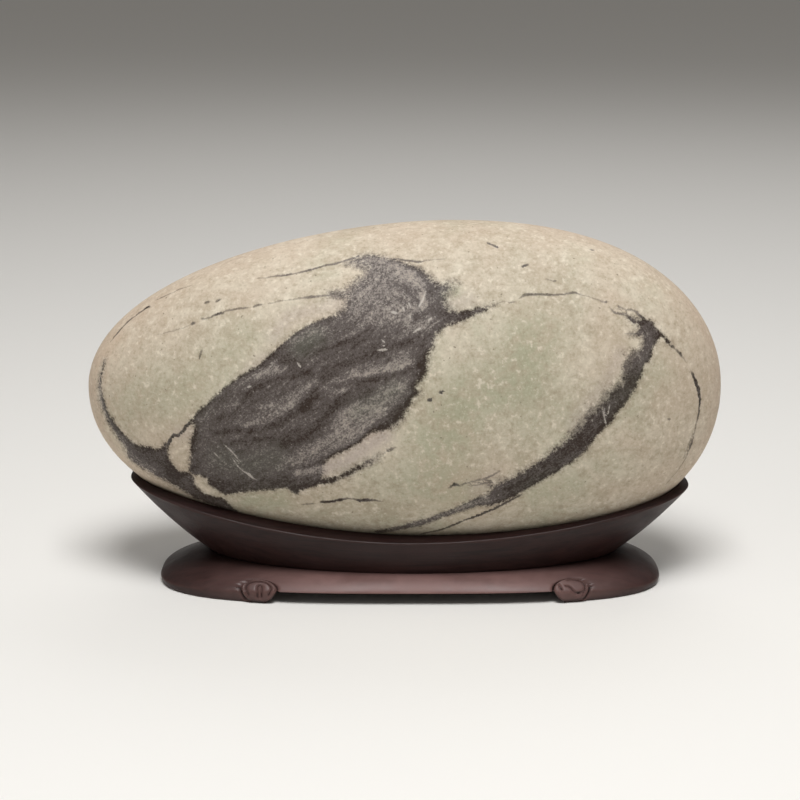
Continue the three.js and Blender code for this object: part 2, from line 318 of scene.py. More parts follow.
CRESCENT = [
    (92.5, 31.2, 0.4), (94, 31), (95.5, 30.5), (96.8, 29), (98, 27.5), (100, 25.7), (101.5, 24),
    (102.6, 22.5), (103.6, 20.4), (102.8, 20.7), (101.3, 22.3), (99.8, 23.8), (98.7, 23), (97.5, 21.5),
    (96.5, 19.5), (95.9, 17), (95.5, 14.7), (94, 14), (92.8, 12), (92.3, 9.5), (91, 7.5), (90, 5),
    (88.5, 2.5), (87, 0), (85.5, -2), (83.5, -4), (82, -6), (81, -8), (79, -10), (77, -12), (75, -14),
    (73, -16.5), (71, -19), (68.5, -21.5), (66, -23.5), (63, -25.5), (60, -27.5), (56.5, -29.5),
    (53, -31.5), (49.5, -33.5), (46, -35.5), (42.5, -37.5), (39, -39), (36, -40), (33, -40.5), (30, -40.2),
    (27, -41.3), (24, -42.4), (20, -43.6), (17, -44.6), (14, -45.7), (11, -47), (8, -48), (5, -48.6),
    (2, -49.3), (-2, -49.9), (-6, -50.4), (-10, -50.8), (-10, -49.8), (-6, -49.2), (-3, -48.5), (0, -48),
    (3, -47), (6, -46.1), (9, -45.3), (12, -44.3), (15, -43.3), (18, -42.3), (21, -41), (24, -39.4),
    (27, -38.1), (30, -36.8), (33, -35.5, 1.0), (35, -34), (33, -32.3), (35.5, -32), (38.5, -31),
    (41.5, -29.7), (44, -28.5), (46.5, -27), (49, -25.5), (52, -24), (54.5, -22), (57, -20),
    (58.5, -18.5), (61, -17), (63, -15), (65, -13, 1.5), (67, -11), (69, -9), (71, -6.5), (72, -4.5),
    (74, -3), (76, -1.5), (77.5, 0.5), (78.5, 2), (80, 3.5), (81.5, 4.5), (83, 6), (84.5, 8),
    (85.3, 10.5, 2.0), (85.8, 13), (87, 15.5), (88.5, 17.3), (90.5, 18.7), (92, 20.5, 1.2), (92.8, 22.5),
    (92, 24.2), (90, 24.8), (88, 25), (90.5, 26), (90.8, 27.5), (90, 29), (88.5, 30.3), (87, 31.4),
    (88.5, 31), (90.5, 30.8),
]
FRONT_AREAS = (LEAF, HEEL, CRESCENT)

# Veins: across, up and half of the width there, all in millimetres.
FRONT_VEINS = (
    [(-110.3, 22.3, 0.1), (-107.5, 25.7, 0.5), (-105.5, 28, 0.3), (-103.5, 30, 0.45), (-101, 32, 0.3),
     (-98.5, 33.8, 0.4), (-96, 35.6, 0.6), (-95, 35.4, 0.1)],
    [(-93, 38.2, 0.15), (-90.5, 39.2, 0.3), (-87, 40.8, 0.12), (-84, 42.3, 0.25), (-80, 43.5, 0.05)],
    [(-54, 46.4, 0.1), (-50, 46.8, 0.2), (-47, 47.3, 0.3), (-43, 47.7, 0.45), (-40, 48.2, 0.25),
     (-37, 48.9, 0.35), (-34, 49.6, 0.45), (-31, 50.6, 0.4), (-28, 51.4, 0.35), (-25, 51.8, 0.4),
     (-22, 52.8, 0.4), (-19, 53.6, 0.5), (-16, 54.8, 0.6)],
    [(-1, 53.7, 0.4), (2, 53.2, 0.4), (5, 53, 0.4), (7.5, 52.6, 0.4), (9.5, 53.2, 0.2),
     (12, 53.4, 0.05), (17, 53.8, 0.1)],
    [(-92, 25, 0.02), (-86, 26.5, 0.12), (-81, 28.2, 0.1)],
    [(-79.2, 29, 0.45), (-78.6, 29.3, 0.4)],
    [(-75.3, 31, 0.3), (-73.3, 31.2, 0.2)],
    [(-72.5, 31.3, 0.25), (-71, 32.2, 0.35), (-69, 33, 0.55), (-67.3, 33.1, 0.3)],
    [(-66.7, 33.9, 0.2), (-64, 34.4, 0.3), (-62, 34.8, 0.3), (-58.2, 35.2, 0.3)],
    [(-55.7, 35.7, 0.3), (-52.8, 36.4, 0.3)],
    [(-50, 36.8, 0.1), (-44, 38, 0.12), (-38, 38.8, 0.2), (-34, 39.2, 0.4), (-29, 39.8, 0.3),
     (-25, 40.6, 0.5)],
    [(-88.5, -17, 0.7), (-87.3, -14.8, 0.6), (-86.2, -13.4, 0.7), (-84.5, -13.6, 0.5), (-83, -12.3, 0.5),
     (-81.7, -10.5, 0.5), (-80.3, -8.9, 0.6)],
    [(-37, -39.9, 0.2), (-33, -39.5, 0.25)],
    [(-29.8, -39, 0.5), (-26, -38.7, 0.6), (-23, -38.2, 0.65), (-20.3, -37.5, 0.35), (-17.5, -37.7, 0.25),
     (-15, -38.6, 0.65), (-12.5, -38.1, 0.65), (-10, -38.2, 0.35), (-7, -38.6, 0.2)],
    [(37, 36.8, 0.2), (40, 37.6, 0.05)],
    [(42, 37.2, 0.3), (43.5, 37.3, 0.2)],
    [(45.5, 38.8, 0.15), (47, 39.7, 0.3), (49, 40.3, 0.4), (53, 40.2, 0.35), (57, 40.1, 0.35),
     (61, 40.2, 0.3), (64, 40.6, 0.3), (67, 40.9, 0.35), (69.5, 40.1, 0.2), (72.5, 39.3, 0.08),
     (75, 38.3, 0.08), (77, 37.6, 0.3), (78.7, 37.4, 0.35)],
    [(80.3, 34.8, 0.2), (81.5, 33.4, 0.35), (84, 32.8, 0.35), (86.5, 32.3, 0.35), (87.5, 31.2, 0.6),
     (89.5, 29.8, 0.7)],
    [(83.3, 35.6, 0.3), (85.5, 34.7, 0.25), (88.5, 34.4, 0.3), (90.5, 33.2, 0.35), (91.5, 31.9, 0.5),
     (93, 31, 0.5)],
    [(86, 25.4, 0.15), (88, 25.2, 0.3), (91, 25.4, 0.5)],
    [(103.5, 20.5, 0.5), (105, 19.5, 0.2), (106.8, 17.6, 0.5), (108.5, 15.5, 0.1), (109, 14.5, 0.02)],
    [(110.8, 11.3, 0.1), (111.6, 9.7, 0.5), (112.7, 7, 0.7), (113.7, 4, 0.8), (114.2, 1, 0.65),
     (114.2, -2, 0.55), (113.9, -5, 0.45), (113.2, -8, 0.3), (112.5, -11, 0.2), (111.9, -14, 0.25),
     (110.9, -17, 0.45), (110.2, -19, 0.3), (109, -22, 0.2), (107.5, -24.5, 0.12), (105, -28, 0.08),
     (101.5, -32, 0.1)],
    [(111.6, -13, 0.2), (109.5, -18, 0.15), (108, -22, 0.1)],
    [(23, -32.5, 0.25), (25, -31.8, 0.3), (28, -31, 0.25), (31.5, -30.2, 0.3), (35, -28.8, 0.35),
     (37.8, -27.2, 0.15)],
    [(19, -33.3, 0.3), (21, -32, 0.6), (23, -32.7, 0.3)],
    [(27, -32.8, 0.2), (31, -32, 0.3), (35, -31.3, 0.4)],
    [(46, -36, 0.4), (40, -39.3, 0.5), (35, -41.8, 0.5), (30, -43.9, 0.6), (27, -45, 0.5),
     (24, -46.1, 0.4), (21, -47.4, 0.5), (18, -48.6, 0.4), (15, -49.6, 0.4), (12, -50.3, 0.4),
     (8, -51.2, 0.4)],
    [(-5.8, -20, 0.3), (-4.4, -19.3, 0.5), (-2.6, -18.7, 0.3)],
    [(-5.6, -18.9, 0.2), (-3.6, -18.3, 0.3), (-1.6, -18, 0.15)],
    [(33.7, 59.8, 0.5), (35.3, 59.1, 0.35), (37, 58.4, 0.6)],
    [(73, 57.3, 0.5), (73.4, 57.2, 0.5)],
    [(47, 51, 0.55), (48.5, 51.6, 0.35)],
    [(55.8, 46, 0.08), (58, 45.5, 0.2), (59, 45.4, 0.35)],
    [(-76.2, 16.6, 0.3), (-75.6, 18.7, 0.25)],
    [(-74, 37.1, 0.45), (-73, 37.3, 0.3)],
    [(-70, 37.5, 0.3), (-69, 38, 0.45), (-68.5, 38.3, 0.2)],
    [(15.7, 3, 0.65), (16.3, 3.1, 0.6)],
    [(11.2, -0.3, 0.65), (12, 0.2, 0.5)],
    [(102.4, -7.2, 0.3), (102.8, -7.3, 0.3)],
)

# Bright scratches and quartz flecks in the dark areas, in the same form.
FRONT_SCRATCHES = (
    [(-66.5, -17.5, 0.2), (-65, -18.8, 0.3), (-63, -21, 0.25), (-61, -23.3, 0.1)],
    [(-64, -22, 0.12), (-62, -25, 0.12), (-60, -27, 0.15), (-58, -28, 0.55), (-57, -29, 0.6),
     (-56, -29.8, 0.3), (-54.5, -30.5, 0.1)],
    [(-71, -20, 0.1), (-69, -22, 0.1)],
    [(77.3, -3, 0.15), (77.8, -6, 0.3), (78.5, -9, 0.1)],
    [(80, -2, 0.1), (79.3, -5, 0.15)],
    [(-6.6, 22.6, 0.35), (-6.1, 22.1, 0.3)],
    [(3.8, 31.8, 0.4), (3.9, 31.2, 0.3)],
    [(1.2, 35.2, 0.25), (1.5, 34.2, 0.3)],
    [(3.5, 36.6, 0.25), (3.9, 35.6, 0.3)],
    [(-2.8, 33.5, 0.4), (-1.5, 33.2, 0.3)],
    [(7.5, 36, 0.3), (8.8, 38.5, 0.4), (9.6, 41, 0.1)],
    [(-8, 19, 0.4), (-5.5, 19.2, 0.4)],
    [(11.3, 30.6, 0.45), (11.6, 30.9, 0.3)],
    [(5.5, 26, 0.3), (7.5, 27.2, 0.4)],
    [(-57.6, 5, 0.25), (-57.2, 5.1, 0.2)],
    [(-38.8, 13.8, 0.3), (-38.2, 13, 0.2)],
    [(-47.6, 27, 0.05), (-47.2, 26.9, 0.05)],
)

# Thin and thick parts of the dark areas: how far a soft stroke reaches, how much lighter it
# makes them (darker, if below zero), and its points.
FRONT_WASHES = (
    # pale runs of the leaf
    (2.2, 0.9, [(-26.9, 3.4), (-16.8, 9.1), (-8.6, 11), (-1, 12.9), (3.4, 14.2)]),
    (4.2, 0.7, [(-23.2, -8.6), (-16.8, -3.5), (-10.5, -1), (-4.2, 1.5), (0.9, 4.7)]),
    (3.4, 0.65, [(-40.9, -24.4), (-34.5, -19.9), (-26.3, -16.2), (-18.1, -13), (-11.8, -9.2), (-7.3, -6)]),
    (1.7, 0.8, [(-54.8, 9.1), (-51, 10.4), (-47.2, 11.7)]),
    (1.4, 0.5, [(-64.9, -3.5), (-61.7, -1)]),
    (1.7, 0.55, [(-52.2, -2.2), (-44.6, -1.6), (-39.6, 2.2), (-34.5, 5.3)]),
    (0.8, 0.7, [(-58.6, -9.8), (-51.6, -7.3), (-44.6, -4.1), (-39, 0.3)]),
    (2.6, 0.3, [(-42, 22), (-36, 25), (-30, 27)]),
    (2.4, 1.3, [(-38.5, -27.6), (-33, -26.8), (-29, -26)]),
    # the leaf's head
    (8, 0.55, [(-16.8, 38.2), (-10.5, 44.5), (-4.2, 41.4), (-7.3, 35.1), (2.1, 31.9)]),
    (4, 0.3, [(-14, 50), (-6, 50)]),
    (2.2, 0.45, [(-20, 52), (-13, 54), (-6, 53.2)]),
    (2.4, 0.9, [(-1, 50.2), (4, 47.1), (7.8, 43.3)]),
    (1.6, 1.0, [(8.5, 39.5), (9.7, 35.7), (7.8, 34.4)]),
    (2.2, 0.5, [(2, 26), (8, 29), (13, 31.5)]),
    # the heel, the crescent and its tail
    (3, 0.5, [(-104, -21), (-98, -24.5), (-92, -27.5)]),
    (4, -0.9, [(-98, -20), (-92, -23), (-85, -28)]),
    (1.6, 0.9, [(-114.6, 8), (-114.4, 0), (-112.2, -6)]),
    (1.5, 0.6, [(-109, -11), (-105.5, -16)]),
    (1.2, 0.8, [(33, -37.5), (27, -39.8), (20, -42.3), (12, -45), (5, -47.3), (-2, -49)]),
    (1.6, 0.3, [(94, 24), (96, 26)]),
    # dark lines of flow in the leaf
    (1.5, -0.8, [(-29.5, 8.5), (-23.2, 12.9), (-16.8, 15.5), (-8.6, 18), (-1, 21.1), (4, 21.8)]),
    (1.4, -0.9, [(-37.1, -3.5), (-32, 0.3), (-26.3, 4.7), (-20, 6.6), (-13.7, 7.2), (-7.3, 8.5), (0.9, 10.4),
                 (7.2, 13.6)]),
    (2.2, -0.9, [(-44.6, -17.4), (-39, -15.5), (-32.6, -11.1), (-28.2, -6.7), (-24.4, -1.6), (-19.4, 0.9),
                 (-11.8, 2.8)]),
    (2.8, -1.2, [(11, 16.7), (9.7, 10.4), (6.6, 3.4), (3.4, -1.6), (-0.4, -6), (-4.8, -9.8), (-9.2, -11.7)]),
    (1.0, -1.2, [(-11.1, -13), (-16.8, -17.4), (-23.2, -20.6), (-29.5, -23.7), (-35.8, -25.6),
                 (-42.1, -26.3)]),
    (2.4, -0.7, [(-72.5, -31.3), (-64.2, -32.6), (-54.8, -32), (-45.3, -30.7), (-35.8, -29.4),
                 (-26.3, -28.2)]),
    (1.0, -0.9, [(-40.9, -33.9), (-32.6, -32.2), (-25.7, -30.1), (-20, -27.5), (-13.7, -24.9)]),
    (1.3, -0.7, [(-68.7, -6.7), (-63.6, -4.1), (-59.2, 0.3), (-54.8, 4.7), (-48.4, 7.2), (-40.9, 9.1),
                 (-34.5, 10.4)]),
    (1.2, -0.7, [(-70.6, -12.4), (-64.2, -11.7), (-54.8, -11.7), (-47.2, -9.2), (-40.9, -6), (-35.8, -1.6),
                 (-32, 4.1)]),
    (1.5, -0.5, [(-66.1, -16.8), (-56, -15.5), (-47.2, -14.9), (-39.6, -11.7)]),
    (2.6, -0.4, [(-51.6, 19.2), (-44.6, 16.7), (-35.8, 11.7)]),
    (2.6, -0.35, [(-35.8, 20.5), (-27.6, 19.2), (-19.4, 21.8), (-10.5, 24.3), (-2.3, 27.5), (5.3, 24.3),
                  (10.4, 19.2)]),
    (1.6, -0.5, [(-78.2, -9.8), (-78.2, -18.7), (-76.9, -27.5)]),
    (2, -0.4, [(11.6, 41.4), (14.8, 44.5)]),
    (2.2, -0.6, [(7.2, 31.9), (11.6, 34.2), (17.3, 32.4), (26, 33.5)]),
    (1.2, -0.4, [(0.9, 52.8), (8.5, 49.6), (12.9, 46.4)]),
    # and in the heel and the crescent
    (5, -0.6, [(-88, -30), (-80, -34), (-70, -38)]),
    (2.5, -0.4, [(-113, -4), (-106, -14)]),
    (4, -0.8, [(89, 8), (80, -5), (68, -17), (54, -27), (42, -34)]),
    (2, -0.5, [(92, 29), (99, 24)]),
)

# Greenish clouds in the sand, in the same form. A green tinge also lies on part of the leaf.
FRONT_CLOUDS = (
    (11, 0.35, [(-106, -4), (-96, 4), (-84, -2)]),
    (9, 0.35, [(-76, 8), (-66, 16), (-60, 24)]),
    (14, 0.7, [(15, -16), (28, 2), (46, 6), (50, 22)]),
    (8, 0.45, [(0, -33), (14, -35), (24, -36)]),
    (5, 0.6, [(-58, -39), (-45, -38)]),
    (7, 0.5, [(52, -36), (66, -32)]),
    (7, 0.35, [(82, 2), (98, 10)]),
    (4, 0.9, [(-38, 20), (-32, 24)]),
    (4, 0.6, [(-16, -4), (-8, 0), (-2, 4)]),
    (5, 0.6, [(-68, -22), (-58, -25), (-48, -22)]),
    (3, 0.6, [(18, 40), (21, 41)]),
)

# Paler, purplish sand that the pattern has bled into.
FRONT_HALOS = (
    (3.5, 1.0, [(-33, -27), (-28, -26), (-20, -23), (-12, -17), (-6, -14)]),
    (3, 0.5, [(-48, 24), (-42, 32), (-30, 35), (-24, 37)]),
    (3, 0.6, [(-84, -13), (-81, -12)]),
    (3, 0.5, [(66, -9), (80, 8), (84, 18)]),
    (3.5, 0.5, [(20, 37), (26, 38)]),
    (2.5, 0.4, [(-60, 8), (-52, 17)]),
    (3, 0.4, [(28, -34), (36, -29)]),
)

# The side that the photograph can't show, in the same manner and on the same picture plane.
BACK_AREAS = (
    [(-99, -14, 1.6), (-100, -20), (-95, -29, 1.2), (-84, -37), (-62, -39, 0.8), (-44, -31), (-27, -19),
     (-12, -6), (-4.5, 3.5), (0, 9.5), (2, 13), (-2.2, 9.8), (-8, 2.5), (-18, -5), (-33, -13),
     (-50, -21, 1.2), (-67, -27), (-80, -28), (-89, -24, 1.6), (-95, -16)],
    [(30, -56, 0.5), (44, -47), (58, -36), (70, -23), (79, -9), (85, 6), (86.5, 19), (85, 27),
     (84, 32), (86.6, 27.5), (89.6, 20), (93, 9), (93, -5), (88, -19), (80, -31),
     (68, -42), (54, -51), (40, -58)],
)
BACK_VEINS = (
    [(2, 13, 0.6), (8, 20, 0.4), (16, 26, 0.3), (27, 31, 0.4), (40, 34, 0.25), (54, 35, 0.1)],
    [(-60, 50, 0.15), (-46, 44, 0.4), (-30, 40, 0.3), (-12, 39, 0.35), (6, 42, 0.2), (22, 47, 0.1)],
    [(84, 32, 0.5), (79, 40, 0.35), (71, 47, 0.3), (60, 52, 0.12)],
    [(-20, -30, 0.2), (-4, -24, 0.4), (14, -20, 0.35), (30, -19, 0.15)],
    [(104, 22, 0.1), (108, 10, 0.5), (108, -6, 0.4), (103, -20, 0.1)],
)
BACK_SCRATCHES = ([(-70, -30, 0.15), (-64, -33, 0.35), (-58, -34, 0.1)],)
BACK_WASHES = (
    (6, 0.6, [(-97, -18), (-90, -30), (-76, -34)]),
    (3, 0.5, [(-52, -28), (-38, -19), (-26, -9)]),
    (3, -0.5, [(-90, -24), (-68, -29), (-46, -24)]),
    (4, -0.5, [(88, 18), (88, -2), (78, -20), (62, -37)]),
)
BACK_CLOUDS = (
    (14, 0.6, [(-60, 10), (-36, 22), (-14, 20)]),
    (12, 0.5, [(20, -2), (44, 8), (58, 24)]),
    (9, 0.5, [(-10, -34), (16, -36)]),
)
BACK_HALOS = ((4, 0.6, [(-30, -6), (-14, 4)]), (4, 0.5, [(62, -24), (76, -4)]))

LEAF_SLOPE = math.radians(-36)
LEAF_STREAK = (14, 9, 1.9)  # how long, deep and thick the leaf's streaks are, in millimetres
CONTOURS_PER_MM = 0.7  # how close together streaks follow an edge
USUAL_SOFTNESS = 0.5
WASH_LIMIT = 1.5
STROKE_STEP = 0.3  # millimetres between the points that a stroke is laid with
VEIN_REACH = {False: 1.3, True: 2.8}  # how far a vein is known, in front and behind, in millimetres
SIDED_WITHIN = {False: 1.1, True: 2.0}  # how far its two sides are told apart
END_TAPER = 0.8  # how fast a vein narrows past its end
SIDE_TAPER = 2  # how fast it is lost past its reach
FADED_OUT = 3  # the offset or half width, in millimetres, past which no vein can show
FAR_FROM_INK = 60
TINY = 1e-9
SEAM_ABOVE_RIM = 1.2  # how far above the rim's edge the pebble comes out of its seat
# Painted shade on the pebble just above the stand's rim, standing in for the contact shadow there.
RIM_SHADE_REACH_IN_MIDDLE, RIM_SHADE_REACH_AT_ENDS = 4.2, 2.2  # how far up from there it thins out


def laid_points(points, closed=False):
    """Points along a stroke at small, even steps, with their last value carried or mixed."""
    rows, softness = [], USUAL_SOFTNESS
    for row in points:
        softness = row[2] if len(row) > 2 else softness
        rows.append((row[0], row[1], softness))
    if closed:
        rows.append(rows[0])
    rows = np.array(rows, float)
    travelled = np.concatenate([[0], np.cumsum(np.hypot(*np.diff(rows[:, :2], axis=0).T))])
    steps = max(2, int(travelled[-1] / STROKE_STEP) + 1)
    even = np.linspace(0, travelled[-1], steps)
    return np.stack([np.interp(even, travelled, rows[:, part]) for part in range(3)], axis=-1)


def nearest(samples, points):
    """Index of the nearest sample to each point, and how far it is."""
    tree = KDTree(len(samples))
    for index, sample in enumerate(samples):
        tree.insert(Vector(sample), index)
    tree.balance()
    found = [tree.find(Vector(point)) for point in points]
    return np.array([index for _, index, _ in found]), np.array([away for _, _, away in found])


def inside(outline, seen):
    """Which points of the picture plane a closed outline goes round."""
    within = np.zeros(len(seen), bool)
    for (x0, y0), (x1, y1) in zip(outline, np.roll(outline, -1, axis=0)):
        if y0 == y1:
            continue
        spans = (seen[:, 1] > y0) != (seen[:, 1] > y1)
        crossing = x0 + (seen[:, 1] - y0) * (x1 - x0) / (y1 - y0)
        within ^= spans & (seen[:, 0] < crossing)
    return within


class Pattern:
    """Lays strokes on the pebble, and tells each point of one of its sides how it lies to them."""

    def __init__(self, sight, tree, points, normals, behind):
        self.sight, self.tree, self.behind = sight, tree, behind
        self.points, self.normals = points, normals
        self.seen = sight.seen_at(points)

    def on_pebble(self, rows):
        """The laid rows that meet the pebble, as points there with their normals and values."""
        landed = [(self.sight.land(self.tree, row[0], row[1], self.behind), row[2]) for row in rows]
        landed = [(place[0], place[1], value) for place, value in landed if place]
        places, normals, values = zip(*landed)
        return np.array(places), np.array(normals), np.array(values)

    def areas(self, outlines):
        """How far outside the dark areas each point is, less than zero inside, and its softness."""
        depth = np.full(len(self.points), float(FAR_FROM_INK))
        softness = np.full(len(self.points), USUAL_SOFTNESS)
        for outline in outlines:
            rows = laid_points(outline, closed=True)
            places, _, values = self.on_pebble(rows)
            index, away = nearest(places, self.points)
            away[inside(rows[:, :2], self.seen)] *= -1
            closer = away < depth
            depth[closer], softness[closer] = away[closer], values[index[closer]]
        return depth, softness

    def veins(self, strokes):
        """Each point's offset to the nearest vein, signed by its side, and that vein's half width."""
        places, sides, ways, halves = [], [], [], []
        for stroke in strokes:
            spots, normals, values = self.on_pebble(laid_points(stroke))
            way = np.gradient(spots, axis=0)
            way /= np.maximum(np.linalg.norm(way, axis=1, keepdims=True), TINY)
            places.append(spots)
            ways.append(way)
            sides.append(np.cross(normals, way))
            halves.append(values)
        places, sides, ways = np.vstack(places), np.vstack(sides), np.vstack(ways)
        index, away = nearest(places, self.points)
        gap = self.points - places[index]
        offset = np.einsum("ij,ij->i", gap, sides[index])
        past_end = np.abs(np.einsum("ij,ij->i", gap, ways[index])) - STROKE_STEP
        half = np.concatenate(halves)[index] - END_TAPER * np.maximum(past_end, 0)
        half -= SIDE_TAPER * np.maximum(away - VEIN_REACH[self.behind], 0)
        far_side = offset < -SIDED_WITHIN[self.behind]
        half[far_side] = -FADED_OUT
        offset[far_side] *= -1
        return np.clip(offset, -FADED_OUT, FADED_OUT), np.clip(half, -FADED_OUT, FADED_OUT)

    def soft_strokes(self, strokes):
        """The sum of soft strokes, each fading with distance from its line."""
        total = np.zeros(len(self.points))
        for reach, amount, points in strokes:
            closest = np.full(len(self.points), np.inf)
            line = np.array(points, float)
            for start, end in zip(line[:-1], line[1:]):
                way = end - start
                share = np.clip((self.seen - start) @ way / (way @ way), 0, 1)[:, None]
                closest = np.minimum(closest, np.linalg.norm(self.seen - start - share * way, axis=1))
            total += amount * np.exp(-((closest / reach) ** 2))
        return total


def painted_rim_shade_share(points):
    """How much painted shade lies at each point of the pebble, most of all just above the stand's rim, where
    it stands in for the contact shadow.
    """
    along = np.clip((points[:, 0] - RIM_PLAN[0]) / (RIM_PLAN[1] / 2), -1, 1)
    above = np.maximum(points[:, 2] - rim_heights(along) - SEAM_ABOVE_RIM, 0)
    reach = RIM_SHADE_REACH_IN_MIDDLE + (RIM_SHADE_REACH_AT_ENDS - RIM_SHADE_REACH_IN_MIDDLE) * along**2
    return np.exp(-above / reach)


def lay_pattern(mesh, sight, points, normals):
    """Stores the pattern on the pebble's points.

    Ink holds the distance to a dark area, its softness and how much lighter it is. Vein and
    scratch hold an offset and a half width. Tint holds green clouds, halos and painted shade
    just above the stand's rim.
    """
    polygons = [tuple(face.vertices) for face in mesh.polygons]
    tree = BVHTree.FromPolygons(points.tolist(), polygons)
    faces_us = np.einsum("ij,ij->i", normals, sight.eye - points) > 0
    ink, vein, scratch, tint = (np.zeros((len(points), 3)) for _ in range(4))
    sides = (
        (faces_us, False, FRONT_AREAS, FRONT_VEINS, FRONT_SCRATCHES, FRONT_WASHES, FRONT_CLOUDS, FRONT_HALOS),
        (~faces_us, True, BACK_AREAS, BACK_VEINS, BACK_SCRATCHES, BACK_WASHES, BACK_CLOUDS, BACK_HALOS),
    )
    for chosen, behind, areas, veins, scratches, washes, clouds, halos in sides:
        pattern = Pattern(sight, tree, points[chosen], normals[chosen], behind)
        ink[chosen, 0], ink[chosen, 1] = pattern.areas(areas)
        ink[chosen, 2] = np.clip(pattern.soft_strokes(washes), -WASH_LIMIT, WASH_LIMIT)
        vein[chosen, 0], vein[chosen, 1] = pattern.veins(veins)
        scratch[chosen, 0], scratch[chosen, 1] = pattern.veins(scratches)
        tint[chosen, 0] = np.clip(pattern.soft_strokes(clouds), 0, 1)
        tint[chosen, 1] = np.clip(pattern.soft_strokes(halos), 0, 1)
    # painted shade along the stand's rim, standing in for the contact shadow where the pebble sits
    tint[:, 2] = painted_rim_shade_share(points)
    for name, values in (("ink", ink), ("vein", vein), ("scratch", scratch), ("tint", tint)):
        give_attribute(mesh, name, values)


# Materials

FOOT_SHEEN_MIDDLE, FOOT_SHEEN_REACH = 6, (98, 25)  # where the painted sheen on the foot's face is brightest, and how far out it fades
SMOOTH = {"interpolation_type": "SMOOTHSTEP"}  # a ramp: its value, from, to, and start and end if not 0 and 1


def fill_inputs(node, inputs):
    """Sets a node's inputs to values, or links them to other nodes.

    Inputs go by name or by place, or are listed from the first on. Of another node, the first
    output that is in use is taken.
    """
    for socket, value in inputs.items() if isinstance(inputs, dict) else enumerate(inputs):
        if isinstance(value, bpy.types.Node):
            value = next(output for output in value.outputs if output.enabled)
        if isinstance(value, bpy.types.NodeSocket):
            node.id_data.links.new(value, node.inputs[socket])
        else:
            node.inputs[socket].default_value = value


def add_node(tree, kind, inputs=(), **settings):
    """Adds a node with its settings and fills its inputs."""
    made = tree.nodes.new(kind)
    for name, value in settings.items():
        setattr(made, name, value)
    fill_inputs(made, inputs)
    return made


def new_material(name):
    """A material with an empty tree, what adds nodes to it, and its surface."""
    material = bpy.data.materials.new(name)
    material.use_nodes = True
    material.node_tree.nodes.clear()
    node = partial(add_node, material.node_tree)
    surface = node("ShaderNodeBsdfPrincipled")
    node("ShaderNodeOutputMaterial", {"Surface": surface})
    return material, node, surface


def layered(node, colour, layers):
    """Lays colours over a first one, each by a share or by a smooth ramp of a value."""
    for share, over in layers:
        if isinstance(share, tuple):
            share = node("ShaderNodeMapRange", share, **SMOOTH)
        colour = node("ShaderNodeMix", {0: share, 6: colour, 7: over}, data_type="RGBA")
    return colour


def stone_traits(node, grain_size):
    """What is known at each spot of the stone: its place, its noises and the pattern laid there."""
    place = node("ShaderNodeTexCoord").outputs["Object"]
    at = SimpleNamespace(spot=node("ShaderNodeVectorMath", {0: place, "Scale": 1 / MM}, operation="SCALE"))
    _, at.across, at.above_floor = node("ShaderNodeSeparateXYZ", (at.spot,)).outputs
    for name, size, detail, roughness, offset in (
        # name, size of its spots in millimetres, detail, roughness and offset
        ("grain", grain_size, 2, 0.6, (0, 0, 0)),
        ("grit", grain_size * 2.6, 3, 0.6, (0, 0, 0)),
        ("mottle", 5, 4, 0.65, (0, 0, 0)),
        ("fine", grain_size * 0.6, 1, 0.5, (5, 5, 40)),
        ("cloud", 32, 3, 0.6, (0, 0, 0)),
        ("blush", 46, 4, 0.6, (60, 12, 33)),
        ("pore", grain_size * 1.7, 1, 0.5, (17, 5, 9)),
    ):
        moved = node("ShaderNodeVectorMath", (at.spot, offset), operation="ADD")
        look = {"Vector": moved, "Scale": 1 / size, "Detail": detail, "Roughness": roughness}
        setattr(at, name, node("ShaderNodeTexNoise", look))
    for attribute, names in (
        ("ink", ("ink_depth", "ink_softness", "ink_wash")),
        ("vein", ("vein_offset", "vein_half")),
        ("scratch", ("scratch_offset", "scratch_half")),
        ("tint", ("moss", "halo", "grime")),
    ):
        stored = node("ShaderNodeAttribute", attribute_name=attribute).outputs["Vector"]
        for name, part in zip(names, node("ShaderNodeSeparateXYZ", (stored,)).outputs):
            setattr(at, name, part)
    return at


def ink_streaks(node, at):
    """Streaks that run along the leaf, up to its right, and others that follow the dark areas' edges."""
    level = node(
        "ShaderNodeMapping", {"Vector": at.spot, "Rotation": (0, LEAF_SLOPE, 0), "Scale": LEAF_STREAK},
        vector_type="TEXTURE",
    )
    lengthwise = node("ShaderNodeSeparateXYZ", (level,)).outputs["X"]
    contour = node("ShaderNodeMath", (at.ink_depth, CONTOURS_PER_MM), operation="MULTIPLY")
    contour = node("ShaderNodeCombineXYZ", (lengthwise, contour))
    flow = {"Scale": 1, "Detail": 5, "Roughness": 0.7, "Distortion": 0.8}
    return [node("ShaderNodeTexNoise", {"Vector": way, **flow}) for way in (level, contour)]


def add_sums(node, at):
    """Adds up traits that act together: a start, then each trait times its weight."""
    along_leaf, along_edge = ink_streaks(node, at)
    near_edge = node("ShaderNodeMapRange", (at.ink_depth, -2.2, -0.4), **SMOOTH)
    sharp = node("ShaderNodeMapRange", (at.ink_softness, 0.7, 0.45), **SMOOTH)
    rim = node("ShaderNodeMath", (near_edge, sharp), operation="MULTIPLY")
    for name, start, parts in (
        ("tone", 0, ((at.mottle, 0.75), (at.grit, 0.55), (at.cloud, 0.5))),
        ("patch", -0.7, ((at.blush, 1), (at.mottle, 0.4))),
        ("unrest", -1.8, ((at.grain, 1), (at.grit, 1.2), (at.fine, 0.7), (at.mottle, 0.7))),
        ("thinness", -3.6, (
            (at.ink_wash, 0.85), (along_leaf, 1.6), (along_edge, 1.6),
            (at.grain, 1.5), (at.fine, 1.6), (at.grit, 1.2), (rim, -0.5),
        )),
        ("relief", 0, ((at.grain, 0.5), (at.grit, 1), (at.pore, -0.6))),
    ):
        for trait, weight in parts:
            start = node("ShaderNodeMath", (trait, weight, start), operation="MULTIPLY_ADD")
        setattr(at, name, start)


